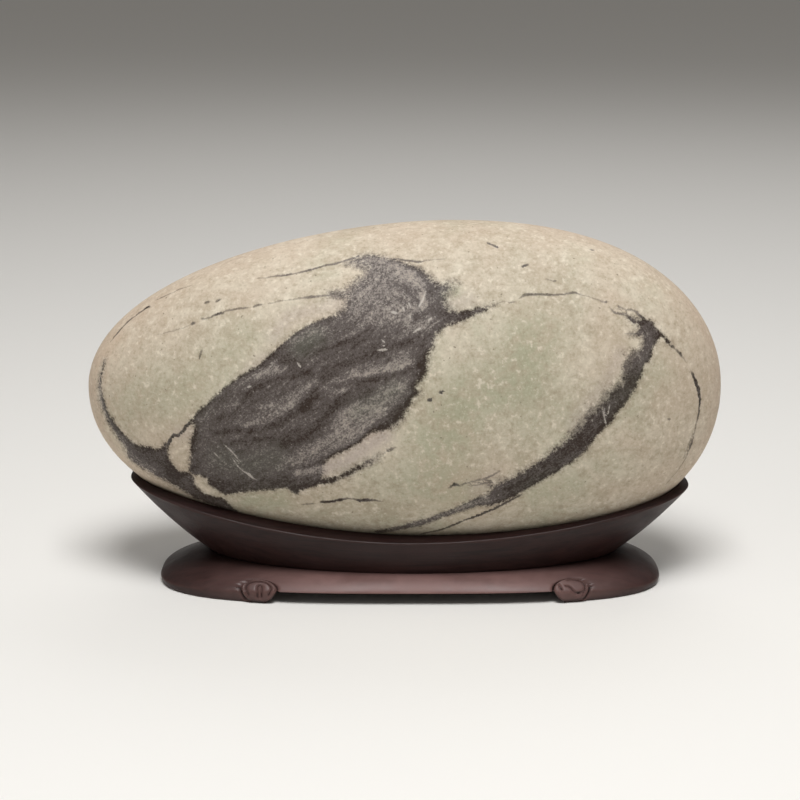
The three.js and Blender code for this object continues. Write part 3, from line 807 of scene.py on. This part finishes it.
def sand_colour(node, settings, at):
    """Two sands, clouded with green, stained where ink bled, and speckled by grains. Round the pebble's edge
    they turn paler and pinker, partly from an iron-tinted rind and partly from a painted sheen.
    """
    mossy = node("ShaderNodeMapRange", (at.blush, 0.5, 0.3, 0, 0.45), **SMOOTH)
    mossy = node("ShaderNodeMath", (at.moss, mossy), operation="MAXIMUM")
    patchy = node("ShaderNodeMapRange", (at.mottle, 0.35, 0.6, 0.4, 1), **SMOOTH)
    mossy = node("ShaderNodeMath", (mossy, patchy), operation="MULTIPLY")
    bled = node("ShaderNodeMath", (at.halo, 0.7), operation="MULTIPLY")
    # Paler, pinker band where the pebble's sides turn away from the front: partly an iron-tinted rind, partly
    # a painted sheen of grazing light reflected from the surroundings. It fades towards the crown.
    from_edge = node("ShaderNodeMath", (at.across,), operation="ABSOLUTE")
    from_edge = node("ShaderNodeMath", (at.patch, 45, from_edge), operation="MULTIPLY_ADD")
    rind_and_sheen = node("ShaderNodeMapRange", (from_edge, 27, 1, 0, 0.6), **SMOOTH)
    below_crown = node("ShaderNodeMapRange", (at.above_floor, 90, 132, 1, 0.4), **SMOOTH)
    rind_and_sheen = node("ShaderNodeMath", (rind_and_sheen, below_crown), operation="MULTIPLY")
    return layered(node, settings.sand_dark, (
        ((at.tone, 0.68, 1.12), settings.sand_light),
        ((at.blush, 0.4, 0.65, 0, 0.5), linear("#C2AE9A")),
        (mossy, settings.moss),
        (bled, linear("#B0A29B")),
        # rind tint and painted sheen along the pebble's edge
        (rind_and_sheen, settings.rind_and_sheen),
        ((at.grain, 0.55, 0.7, 0, 0.2), linear("#E4D9C5")),
        ((at.grain, 0.47, 0.3, 0, 0.2), linear("#7F725C")),
        ((at.grit, 0.58, 0.7, 0, 0.5), linear("#DED4C2")),
        ((at.grit, 0.42, 0.3, 0, 0.2), linear("#8B7F66")),
        ((at.pore, 0.74, 0.8, 0, 0.6), linear("#5B5040")),
    ))


def ink_cover(node, at):
    """How much of each spot is under ink: in a dark area, on a vein or where a soft edge bleeds."""
    # An edge wanders by whole grains, more so where it is soft.
    reach = node("ShaderNodeMath", (at.ink_softness, 2.6, 0.7), operation="MULTIPLY_ADD")
    depth = node("ShaderNodeMath", (at.unrest, reach, at.ink_depth), operation="MULTIPLY_ADD")
    width = node("ShaderNodeMath", (at.ink_softness, 1.2, 0.35), operation="MULTIPLY_ADD")
    inward = node("ShaderNodeMath", (width, -1), operation="MULTIPLY")
    area = node("ShaderNodeMapRange", (depth, width, inward), **SMOOTH)
    swerve = node("ShaderNodeMath", (at.grit, 0.5), operation="SUBTRACT")
    off_line = node("ShaderNodeMath", (at.vein_offset, swerve), operation="ADD")
    off_line = node("ShaderNodeMath", (off_line,), operation="ABSOLUTE")
    off_line = node("ShaderNodeMath", (off_line, at.vein_half), operation="SUBTRACT")
    off_line = node("ShaderNodeMath", (at.unrest, 0.42, off_line), operation="MULTIPLY_ADD")
    line = node("ShaderNodeMapRange", (off_line, 0.42, -0.22), **SMOOTH)
    bold = node("ShaderNodeMapRange", (at.vein_half, 0.05, 0.6, 0.4, 1), **SMOOTH)
    line = node("ShaderNodeMath", (line, bold), operation="MULTIPLY")
    bleed = node("ShaderNodeMath", (at.unrest, 3, at.ink_depth), operation="MULTIPLY_ADD")
    bleed = node("ShaderNodeMapRange", (bleed, 2.4, -0.5, 0, 0.45), **SMOOTH)
    bleed = node("ShaderNodeMath", (bleed, at.ink_softness), operation="MULTIPLY")
    cover = node("ShaderNodeMath", (area, line), operation="MAXIMUM")
    cover = node("ShaderNodeMath", (cover, bleed), operation="MAXIMUM")
    opacity = node("ShaderNodeMapRange", (at.thinness, 0.3, 1.9, 1, 0.6), **SMOOTH)
    return node("ShaderNodeMath", (cover, opacity), operation="MULTIPLY")


def ink_colour(node, settings, at):
    """The dark mineral, greyer where it is thin, greenish in places and with pale grains in it."""
    mossy = node("ShaderNodeMath", (at.moss, 0.35), operation="MULTIPLY")
    return layered(node, settings.ink, (
        ((at.thinness, -0.9, 0.15), settings.soaked),
        ((at.thinness, 0, 1.3), settings.wash),
        (mossy, linear("#5C6152")),
        ((at.grain, 0.68, 0.78, 0, 0.5), linear("#B5ACA4")),
    ))


def water_worn_sandstone(settings):
    """Fine sandstone, tumbled smooth: matte, speckled by its grains, with pores and pale flecks.

    A dark mineral has soaked into it. Its edges break up from grain to grain, and where it is
    thin the sand shows through.
    """
    material, node, surface = new_material("water_worn_sandstone")
    at = stone_traits(node, settings.grain / MM)
    add_sums(node, at)
    nick = node("ShaderNodeMath", (at.scratch_offset,), operation="ABSOLUTE")
    nick = node("ShaderNodeMath", (nick, at.scratch_half), operation="SUBTRACT")
    nick = node("ShaderNodeMath", (at.unrest, 0.9, nick), operation="MULTIPLY_ADD")
    # Painted shade just above the stand's rim, standing in for the contact shadow there, broken up a little
    # by the mottle.
    grime = node("ShaderNodeMapRange", (at.mottle, 0.3, 0.7, 0.75, 0.9), **SMOOTH)
    grime = node("ShaderNodeMath", (at.grime, grime), operation="MULTIPLY")
    painted = layered(node, sand_colour(node, settings, at), (
        (ink_cover(node, at), ink_colour(node, settings, at)),
        ((nick, 0.3, -0.3, 0, 0.6), linear("#D2CAC0")),
        # painted shade at the rim, in a dark brown
        (grime, linear("#362C21")),
    ))
    fill_inputs(surface, {
        "Base Color": painted,
        "Roughness": node("ShaderNodeMapRange", (at.grain, 0.3, 0.7, 0.74, 0.6), **SMOOTH),
        "Normal": node("ShaderNodeBump", {"Strength": 0.5, "Distance": 0.16 * MM, "Height": at.relief}),
        "IOR": 1.5,
        "Specular IOR Level": 0.35,
    })
    return material


def stained_rosewood(settings):
    """Rosewood, stained nearly black and wax polished: a soft gloss over long, fine streaks.

    Edges that hands rub are a little lighter and redder, with a painted highlight on them as well.
    Creases and carved grooves get painted shade, and the foot's face gets a painted sheen.
    """
    material, node, surface = new_material("stained_rosewood")
    place = node("ShaderNodeTexCoord").outputs["Object"]
    spot = node("ShaderNodeVectorMath", {0: place, "Scale": 1 / MM}, operation="SCALE")
    width = settings.streak_width / MM
    noises = []
    for size, stretch, detail, distortion in (
        # streaks: their width in millimetres, how much longer they are, detail and distortion
        (width * 4, 14, 3, 0.8),
        (width, 22, 4, 0.5),
        (width * 0.3, 30, 2, 0.2),
        (9, 1.5, 3, 0.3),
    ):
        scale = (1 / (size * stretch), 1 / size, 1 / size)
        drawn_out = node("ShaderNodeMapping", {"Vector": spot, "Scale": scale})
        look = {"Vector": drawn_out, "Scale": 1, "Detail": detail, "Roughness": 0.6, "Distortion": distortion}
        noises.append(node("ShaderNodeTexNoise", look))
    broad, band, fine, smudge = noises
    # Painted sheen: the foot's face below the waist, where it faces up and out, is made paler and pinker.
    # This is strongest in its middle, standing in for the key light's reflection.
    facing = node("ShaderNodeNewGeometry").outputs["Normal"]
    upward = node("ShaderNodeSeparateXYZ", (facing,)).outputs["Z"]
    along, _, height = node("ShaderNodeSeparateXYZ", (spot,)).outputs
    from_middle = node("ShaderNodeMath", (along, FOOT_SHEEN_MIDDLE), operation="SUBTRACT")
    from_middle = node("ShaderNodeMath", (from_middle,), operation="ABSOLUTE")
    # the share of painted sheen on the foot's face
    worn = 0.9
    for limits in (
        (height, 11.5, 9.5),
        (upward, -0.5, -0.1),
        (from_middle, *FOOT_SHEEN_REACH, 0.05, 1),
        (smudge, 0.25, 0.7, 0.7, 1),
    ):
        share = node("ShaderNodeMapRange", limits, **SMOOTH)
        worn = node("ShaderNodeMath", (worn, share), operation="MULTIPLY")
    # How far each point stands out. Edges are made paler, partly as rubbed wood and partly as a painted
    # highlight, and creases get painted shade.
    wear = node("ShaderNodeAttribute", attribute_name="wear").outputs["Fac"]
    wood = layered(node, settings.heartwood, (
        ((broad, 0.3, 0.7), linear("#301D1B")),
        ((band, 0.46, 0.66, 0, 0.8), settings.streak),
        ((fine, 0.55, 0.72, 0, 0.4), settings.streak),
        # painted sheen on the foot's face
        (worn, linear("#80625E")),
        # edges: partly rubbed wood, partly a painted highlight
        ((wear, 0.12, 0.7, 0, 0.6), settings.rubbed_edge_and_highlight),
        # painted shade in creases and carved grooves, nearly black
        ((wear, -0.1, -0.6, 0, 0.7), linear("#0D0807")),
    ))
    bump = node("ShaderNodeBump", {"Strength": 0.35, "Distance": 0.1 * MM, "Height": fine})
    hand_cut = {"Strength": 0.25, "Distance": 0.5 * MM, "Height": smudge, "Normal": bump}
    fill_inputs(surface, {
        "Base Color": wood,
        "Roughness": node("ShaderNodeMapRange", (smudge, 0.3, 0.7, 0.36, 0.5), **SMOOTH),
        "Normal": node("ShaderNodeBump", hand_cut),
        "IOR": 1.5,
        "Specular IOR Level": 0.25,
    })
    return material


def painted_board(settings):
    """A smooth painted board, pale and matte."""
    material, _, surface = new_material("painted_board")
    fill_inputs(surface, {"Base Color": settings.floor, "Roughness": 0.6})
    return material


# The stand

BULGE_ROW = 30  # how many of the foot's steps lie below its bulge
SHOULDER_STEPS = 60
FOOT_ROWS = 56
WALL_ROWS = 26
ARRIS_ROWS = 6
TOP_ROWS = 10
PLAIN_COLUMNS = 260
SCROLL_COLUMN_WIDTH = 0.28
SEAT_RINGS, SEAT_COLUMNS = 170, 150
COLUMN_GAP = 0.01  # least angle between a plain column and those of a scroll
NEAR_SCROLL = 2  # how far past a scroll's edge its columns go
SHARP_ANGLE = math.radians(38)
ARCH_CUTTER_FOOT, ARCH_CUTTER_REACH, ARCH_CUTTER_STEPS = -6, 60, 24
ARCH_END_GAP = 0.2  # between a scroll's edge and the arch's end
ARCH_TOE = 0.3  # how far from a scroll's lowest point the arch's end stops following it
LEAST_EDGE = 0.05  # millimetres, for the shortest of a mesh's edges
STANDING_OUT_ROUNDS, STANDING_OUT_CONTRAST = 2, 4  # how often the edge and crease measure is evened out, and how much it is then raised


def arc(radius, start, end, steps=40):
    """Points of an arc about a scroll's middle, from one angle in degrees to another."""
    return [(radius * math.cos(a), radius * math.sin(a)) for a in np.radians(np.linspace(start, end, steps))]


# Lines carved in the scrolls: across and up from a scroll's middle.
TONGUE_GROOVES = (
    arc(4.8, 218, -38),
    [(-0.4, -3.8), (-0.4, 1.2), (0.0, 1.9), (0.8, 1.9), (1.2, 1.2), (1.2, -3.8)],
)
VOLUTE_GROOVES = (
    arc(5.2, 105, -30),
    [(-4.6, 2.4), (-4.3, 0.8), (-3.7, -0.9)],
    [(-2.2, 1.4), (-1.2, 1.1), (-0.4, 0.1), (0.4, -1.5), (1.5, -2.5), (2.9, -2.7), (4.0, -2.0)],
)
GROOVE_WIDTH = 0.9
MOAT_WIDTH, MOAT_DEPTH = 0.5, 0.8
CARVED_FROM = 1.3  # the carving runs out between this height and the ground


def mixed_plan(first, second, share):
    return tuple(a + (b - a) * share for a, b in zip(first, second))


def inset_plan(plan, inset):
    centre, span, depth, power = plan
    return (centre, span - 2 * inset, depth - 2 * inset, power)


def plan_points(plan, angles, heights):
    """Points of a rounded oblong at the given angles round it."""
    centre, span, depth, power = plan
    x = centre + span / 2 * signed_power(np.cos(angles), 2 / power)
    y = depth / 2 * signed_power(np.sin(angles), 2 / power)
    return np.stack([x, y, np.broadcast_to(heights, x.shape)], axis=-1)


def column_angles():
    """Angles round the stand, close together where the scrolls are."""
    plain = np.linspace(0, 2 * math.pi, PLAIN_COLUMNS, endpoint=False)
    centre, span, _, power = BULGE_PLAN
    reach = SCROLL_RADIUS + NEAR_SCROLL
    close = []
    for scroll in SCROLL_X:
        x = np.arange(scroll - reach, scroll + reach, SCROLL_COLUMN_WIDTH) - centre
        angle = np.arccos(signed_power(x / (span / 2), power / 2))
        close += [angle, 2 * math.pi - angle]
        for run in close[-2:]:
            plain = plain[(plain < run.min() - COLUMN_GAP) | (plain > run.max() + COLUMN_GAP)]
    return np.sort(np.concatenate([plain, *close]))


def bulge_heights(angles):
    return BULGE_HEIGHT - BULGE_DROP_AT_ENDS * np.cos(angles) ** 2


def waist_heights(angles):
    return WAIST_HEIGHT + WAIST_RISE_AT_ENDS * np.cos(angles) ** 2


def rim_heights(along):
    """Heights of the rim, from -1 at the tip of its left horn to 1 at its right one."""
    rise = np.where(along < 0, LEFT_HORN_RISE, RIGHT_HORN_RISE)
    return RIM_HEIGHT + rise * np.abs(along) ** HORN_SWEEP_POWER


def foot_rows(angles):
    """The foot from the ground to the waist, in even rows, and how far up each point is.

    Up is along the foot's face, from its bulge.
    """
    bulge, waist = bulge_heights(angles), waist_heights(angles)
    rows = []
    for turn in np.linspace(UNDERCUT_TURN, 0, BULGE_ROW, endpoint=False):
        inset = (1 - math.cos(turn)) / (1 - math.cos(UNDERCUT_TURN))
        drop = math.sin(turn) / math.sin(UNDERCUT_TURN)
        rows.append(plan_points(mixed_plan(BULGE_PLAN, GROUND_PLAN, inset), angles, bulge * (1 - drop)))
    for turn in np.linspace(0, math.pi / 2, SHOULDER_STEPS):
        plan = mixed_plan(BULGE_PLAN, WAIST_PLAN, 1 - math.cos(turn) ** SHOULDER_POWER)
        rise = math.sin(turn) ** SHOULDER_POWER
        rows.append(plan_points(plan, angles, bulge + (waist - bulge) * rise))
    rows = np.array(rows)
    steps = np.linalg.norm(np.diff(rows, axis=0), axis=-1)
    climbed = np.concatenate([np.zeros((1, len(angles))), np.cumsum(steps, axis=0)])
    even = np.linspace(0, 1, FOOT_ROWS)[:, None] * climbed[-1]
    evened = np.empty((FOOT_ROWS, len(angles), 3))
    for column in range(len(angles)):
        for part in range(3):
            evened[:, column, part] = np.interp(even[:, column], climbed[:, column], rows[:, column, part])
    return evened, even - climbed[BULGE_ROW]


def cup_rows(angles):
    """The cup's wall from the waist, the rim's rounded edge and its top."""
    waist, rim = waist_heights(angles), rim_heights(signed_power(np.cos(angles), 2 / RIM_PLAN[3]))
    rows = []
    for share in np.linspace(0, 1, WALL_ROWS + 1)[1:]:
        across = 2 * (1 - share) * share * WALL_SWELL[0] + share**2
        up = 2 * (1 - share) * share * WALL_SWELL[1] + share**2
        heights = waist + (rim - RIM_ARRIS - waist) * up
        rows.append(plan_points(mixed_plan(WAIST_PLAN, RIM_PLAN, across), angles, heights))
    for turn in np.linspace(0, math.pi / 2, ARRIS_ROWS + 1)[1:]:
        inset = RIM_ARRIS * (1 - math.cos(turn))
        rows.append(plan_points(inset_plan(RIM_PLAN, inset), angles, rim - RIM_ARRIS * (1 - math.sin(turn))))
    for inset in np.linspace(RIM_ARRIS, RIM_TOP_REACH, TOP_ROWS + 1)[1:]:
        rows.append(plan_points(inset_plan(RIM_PLAN, inset), angles, rim + RIM_TOP_RISE * inset))
    return np.array(rows)


def to_polyline(across, up, line):
    """Distance from each place on a scroll's face to a line carved in it."""
    closest = np.full(across.shape, np.inf)
    for (x0, y0), (x1, y1) in zip(line[:-1], line[1:]):
        along_x, along_y = x1 - x0, y1 - y0
        share = ((across - x0) * along_x + (up - y0) * along_y) / (along_x**2 + along_y**2)
        share = np.clip(share, 0, 1)
        closest = np.minimum(closest, np.hypot(across - x0 - share * along_x, up - y0 - share * along_y))
    return closest


def scroll_relief(across, up, grooves, groove_depth):
    """How far a scroll's face stands out of the foot at a place on it."""
    radius = np.hypot(across, up)
    edge = np.clip((SCROLL_RADIUS - radius) / SCROLL_EDGE_ROUND, 0, 1)
    height = SCROLL_RAISE + SCROLL_LEAN * np.clip(up / SCROLL_RADIUS, 0, 1)
    raised = height * np.sqrt(1 - (1 - edge) ** 2)
    for line in grooves:
        carved = np.exp(-((to_polyline(across, up, line) / (GROOVE_WIDTH / 2)) ** 2))
        raised = raised - groove_depth * carved * (edge > 0)
    moat = np.exp(-(((radius - SCROLL_RADIUS - MOAT_WIDTH / 2) / MOAT_WIDTH) ** 2))
    return raised - MOAT_DEPTH * moat


def carve_scrolls(rows, up, groove_depth):
    """Moves the foot's points so that four scrolls stand out of it."""
    up = up - SCROLL_LIFT
    upwards = np.gradient(rows, axis=0)
    sideways = np.gradient(rows, axis=1)
    outward = np.cross(sideways, upwards)
    outward /= np.maximum(np.linalg.norm(outward, axis=-1, keepdims=True), TINY)
    lift = np.zeros(up.shape)
    for scroll in SCROLL_X:
        for side in (-1, 1):
            across = (rows[..., 0] - scroll) * -side
            near = (np.abs(across) < SCROLL_RADIUS + NEAR_SCROLL) & (rows[..., 1] * side > 0)
            grooves = TONGUE_GROOVES if scroll * -side < 0 else VOLUTE_GROOVES
            lift = np.where(near, scroll_relief(across, up, grooves, groove_depth), lift)
    lift *= np.clip(rows[..., 2] / CARVED_FROM, 0, 1)
    return rows + outward * lift[..., None]


def arch_cutter():
    """A bar whose ends follow the scrolls, to raise the stand's underside between them."""
    heights = np.linspace(ARCH_CUTTER_FOOT, ARCH_HEIGHT, ARCH_CUTTER_STEPS)
    below = np.clip(ARCH_HEIGHT + SCROLL_LIFT - heights, 0, SCROLL_RADIUS - ARCH_TOE)
    bulge = np.sqrt((SCROLL_RADIUS + ARCH_END_GAP) ** 2 - below**2)
    left = np.stack([SCROLL_X[0] + bulge, heights], axis=-1)
    right = np.stack([SCROLL_X[1] - bulge, heights], axis=-1)[::-1]
    outline = np.vstack([right, left])
    count = len(outline)
    points = [(x, y, z) for y in (-ARCH_CUTTER_REACH, ARCH_CUTTER_REACH) for x, z in outline]
    around = [(at, (at + 1) % count, count + (at + 1) % count, count + at) for at in range(count)]
    faces = [tuple(range(count))[::-1], tuple(range(count, 2 * count)), *around]
    return make_piece("arch_cutter", points, faces, smooth=False)


def carve(body, cutter):
    """Takes the cutter's shape out of the body and removes the cutter."""
    cut = body.modifiers.new("cut", "BOOLEAN")
    cut.operation, cut.solver, cut.object = "DIFFERENCE", "EXACT", cutter
    graph = bpy.context.evaluated_depsgraph_get()
    whole, carved = body.data, bpy.data.meshes.new_from_object(body.evaluated_get(graph))
    body.modifiers.clear()
    body.data = carved
    bpy.data.meshes.remove(whole)
    bpy.data.meshes.remove(cutter.data)
    if not carved.polygons:
        raise RuntimeError(f"nothing is left of {body.name} after the cut")


def how_far_points_stand_out(mesh):
    """How far each point stands out from its neighbours, above zero on edges, below in creases."""
    points, normals = points_of(mesh) / MM, points_of(mesh, field="normal")
    pairs = np.zeros(len(mesh.edges) * 2, int)
    mesh.edges.foreach_get("vertices", pairs)
    first, second = pairs.reshape(-1, 2).T
    way = points[first] - points[second]
    way /= np.maximum(np.linalg.norm(way, axis=1, keepdims=True), LEAST_EDGE)
    sums, counts = np.zeros(len(points)), np.zeros(len(points))
    for here, there, heading in ((first, second, way), (second, first, -way)):
        np.add.at(sums, here, np.einsum("ij,ij->i", normals[here], heading))
        np.add.at(counts, here, 1)
    wear = sums / np.maximum(counts, 1)
    for _ in range(STANDING_OUT_ROUNDS):
        total, number = wear.copy(), np.ones(len(points))
        for here, there in ((first, second), (second, first)):
            np.add.at(total, here, wear[there])
            np.add.at(number, here, 1)
        wear = total / number
    return np.clip(wear * STANDING_OUT_CONTRAST, -1, 1)


# What is made


class PAINTINGSTONE_OT_add_stage(bpy.types.Operator):
    """Lay the floor, and set the lights and the camera"""

    bl_idname = "paintingstone.add_stage"
    bl_label = "Stage"

    LIGHTS = (
        # name, place, width and height in metres, watts
        ("key_softbox", (0.04, -0.53, 1.3), (0.55, 0.55), 17.4),
        ("fill_softbox", (-1.3, -0.9, 0.9), (1.2, 1.2), 1.5),
        ("back_softbox", (0.3, 1.0, 1.3), (1.4, 0.8), 4),
    )
    AIMED_AT = Vector((0, 0, 0.05))
    ROOM_STRENGTH = 0.22
    FLOOR_REACH = 6000

    def execute(self, context):
        settings = context.scene.painting_stone_stage
        self.lay_floor(settings)
        self.hang_lights(context)
        self.set_camera(context, settings)
        context.scene.view_settings.view_transform = "Standard"
        return {"FINISHED"}

    def lay_floor(self, settings):
        reach = self.FLOOR_REACH
        corners = [(-reach, -reach, 0), (reach, -reach, 0), (reach, reach, 0), (-reach, reach, 0)]
        floor = make_piece("floor", corners, [(0, 1, 2, 3)])
        floor.data.materials.append(painted_board(settings))

    def hang_lights(self, context):
        world = bpy.data.worlds.new("soft_room")
        world.use_nodes = True
        room = world.node_tree.nodes["Background"]
        fill_inputs(room, {"Color": linear("#F4F0EA"), "Strength": self.ROOM_STRENGTH})
        context.scene.world = world
        for name, place, size, power in self.LIGHTS:
            lamp = bpy.data.lights.new(name, "AREA")
            lamp.shape, lamp.size, lamp.size_y, lamp.energy = "RECTANGLE", *size, power
            light = bpy.data.objects.new(name, lamp)
            light.location = place
            light.rotation_euler = (self.AIMED_AT - light.location).to_track_quat("-Z", "Y").to_euler()
            context.scene.collection.objects.link(light)

    def set_camera(self, context, settings):
        sight = Sight(settings)
        lens = bpy.data.cameras.new("front_view")
        lens.sensor_width = 36
        lens.lens = lens.sensor_width * settings.distance / settings.picture_width
        camera = bpy.data.objects.new("front_view", lens)
        camera.location = sight.eye * MM
        camera.rotation_euler = Vector(sight.forward).to_track_quat("-Z", "Y").to_euler()
        context.scene.collection.objects.link(camera)
        context.scene.camera = camera


class PAINTINGSTONE_OT_add_pebble(bpy.types.Operator):
    """Build the pebble, lay its pattern and give it its sandstone"""

    bl_idname = "paintingstone.add_pebble"
    bl_label = "Pebble"

    def execute(self, context):
        settings = context.scene.painting_stone_pebble
        front = np.linspace(math.pi / 2, 3 * math.pi / 2, COLUMNS_IN_FRONT, endpoint=False)
        behind = np.linspace(-math.pi / 2, math.pi / 2, COLUMNS_BEHIND, endpoint=False)
        columns = np.concatenate([front, behind])
        even = pebble_surface(RINGS_ALONG, columns, 0)
        pebble = make_piece("pebble", even, skin_faces(RINGS_ALONG, len(columns)))
        normals = points_of(pebble.data, field="normal")
        worn = uneven(even, normals, settings.undulation / MM)
        pebble.data.vertices.foreach_set("co", (worn * MM).ravel())
        pebble.data.update()
        lay_pattern(pebble.data, Sight(context.scene.painting_stone_stage), even, normals)
        pebble.data.materials.append(water_worn_sandstone(settings))
        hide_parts("river_stone")
        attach(pebble, "root")
        return {"FINISHED"}


class PAINTINGSTONE_OT_add_stand(bpy.types.Operator):
    """Carve the stand and give it its polished rosewood"""

    bl_idname = "paintingstone.add_stand"
    bl_label = "Stand"

    def execute(self, context):
        settings = context.scene.painting_stone_stand
        angles = column_angles()
        foot = carve_scrolls(*foot_rows(angles), settings.scroll_groove / MM)
        rows = np.vstack([foot, cup_rows(angles)])
        ends = np.array([[GROUND_PLAN[0], 0, 0], [RIM_PLAN[0], 0, PEBBLE_CENTRE_HEIGHT]])
        points = np.vstack([ends[:1], rows.reshape(-1, 3), ends[1:]])
        stand = make_piece("stand", points, skin_faces(len(rows), len(angles)))
        seat_columns = np.linspace(0, 2 * math.pi, SEAT_COLUMNS, endpoint=False)
        seat = pebble_surface(SEAT_RINGS, seat_columns, SEAT_GAP)
        carve(stand, make_piece("seat_cutter", seat, skin_faces(SEAT_RINGS, SEAT_COLUMNS)))
        carve(stand, arch_cutter())
        stand.data.shade_smooth()
        stand.data.set_sharp_from_angle(angle=SHARP_ANGLE)
        # the edge and crease measure, which the wood turns into paler edges (partly a painted highlight) and
        # painted shade in creases
        give_attribute(stand.data, "wear", how_far_points_stand_out(stand.data))
        stand.data.materials.clear()
        stand.data.materials.append(stained_rosewood(settings))
        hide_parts("wood_stand")
        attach(stand, "root")
        return {"FINISHED"}


class PAINTINGSTONE_PT_sidebar(bpy.types.Panel):
    bl_label = "Painting Stone"
    bl_idname = "PAINTINGSTONE_PT_sidebar"
    bl_space_type = "VIEW_3D"
    bl_region_type = "UI"
    bl_category = "Painting Stone"

    def draw(self, context):
        for operator, group in (
            (PAINTINGSTONE_OT_add_stage, context.scene.painting_stone_stage),
            (PAINTINGSTONE_OT_add_stand, context.scene.painting_stone_stand),
            (PAINTINGSTONE_OT_add_pebble, context.scene.painting_stone_pebble),
        ):
            box = self.layout.box()
            box.operator(operator.bl_idname)
            for name in group.__annotations__:
                box.prop(group, name)


CLASSES = (
    PebbleSettings,
    StandSettings,
    StageSettings,
    PAINTINGSTONE_OT_add_stage,
    PAINTINGSTONE_OT_add_stand,
    PAINTINGSTONE_OT_add_pebble,
    PAINTINGSTONE_PT_sidebar,
)


def register():
    for cls in CLASSES:
        bpy.utils.register_class(cls)
    bpy.types.Scene.painting_stone_pebble = PointerProperty(type=PebbleSettings)
    bpy.types.Scene.painting_stone_stand = PointerProperty(type=StandSettings)
    bpy.types.Scene.painting_stone_stage = PointerProperty(type=StageSettings)


def unregister():
    del bpy.types.Scene.painting_stone_pebble
    del bpy.types.Scene.painting_stone_stand
    del bpy.types.Scene.painting_stone_stage
    for cls in reversed(CLASSES):
        bpy.utils.unregister_class(cls)


def main():
    register()
    bpy.ops.paintingstone.add_stage()
    bpy.ops.paintingstone.add_stand()
    bpy.ops.paintingstone.add_pebble()


if __name__ == "__main__":
    main()
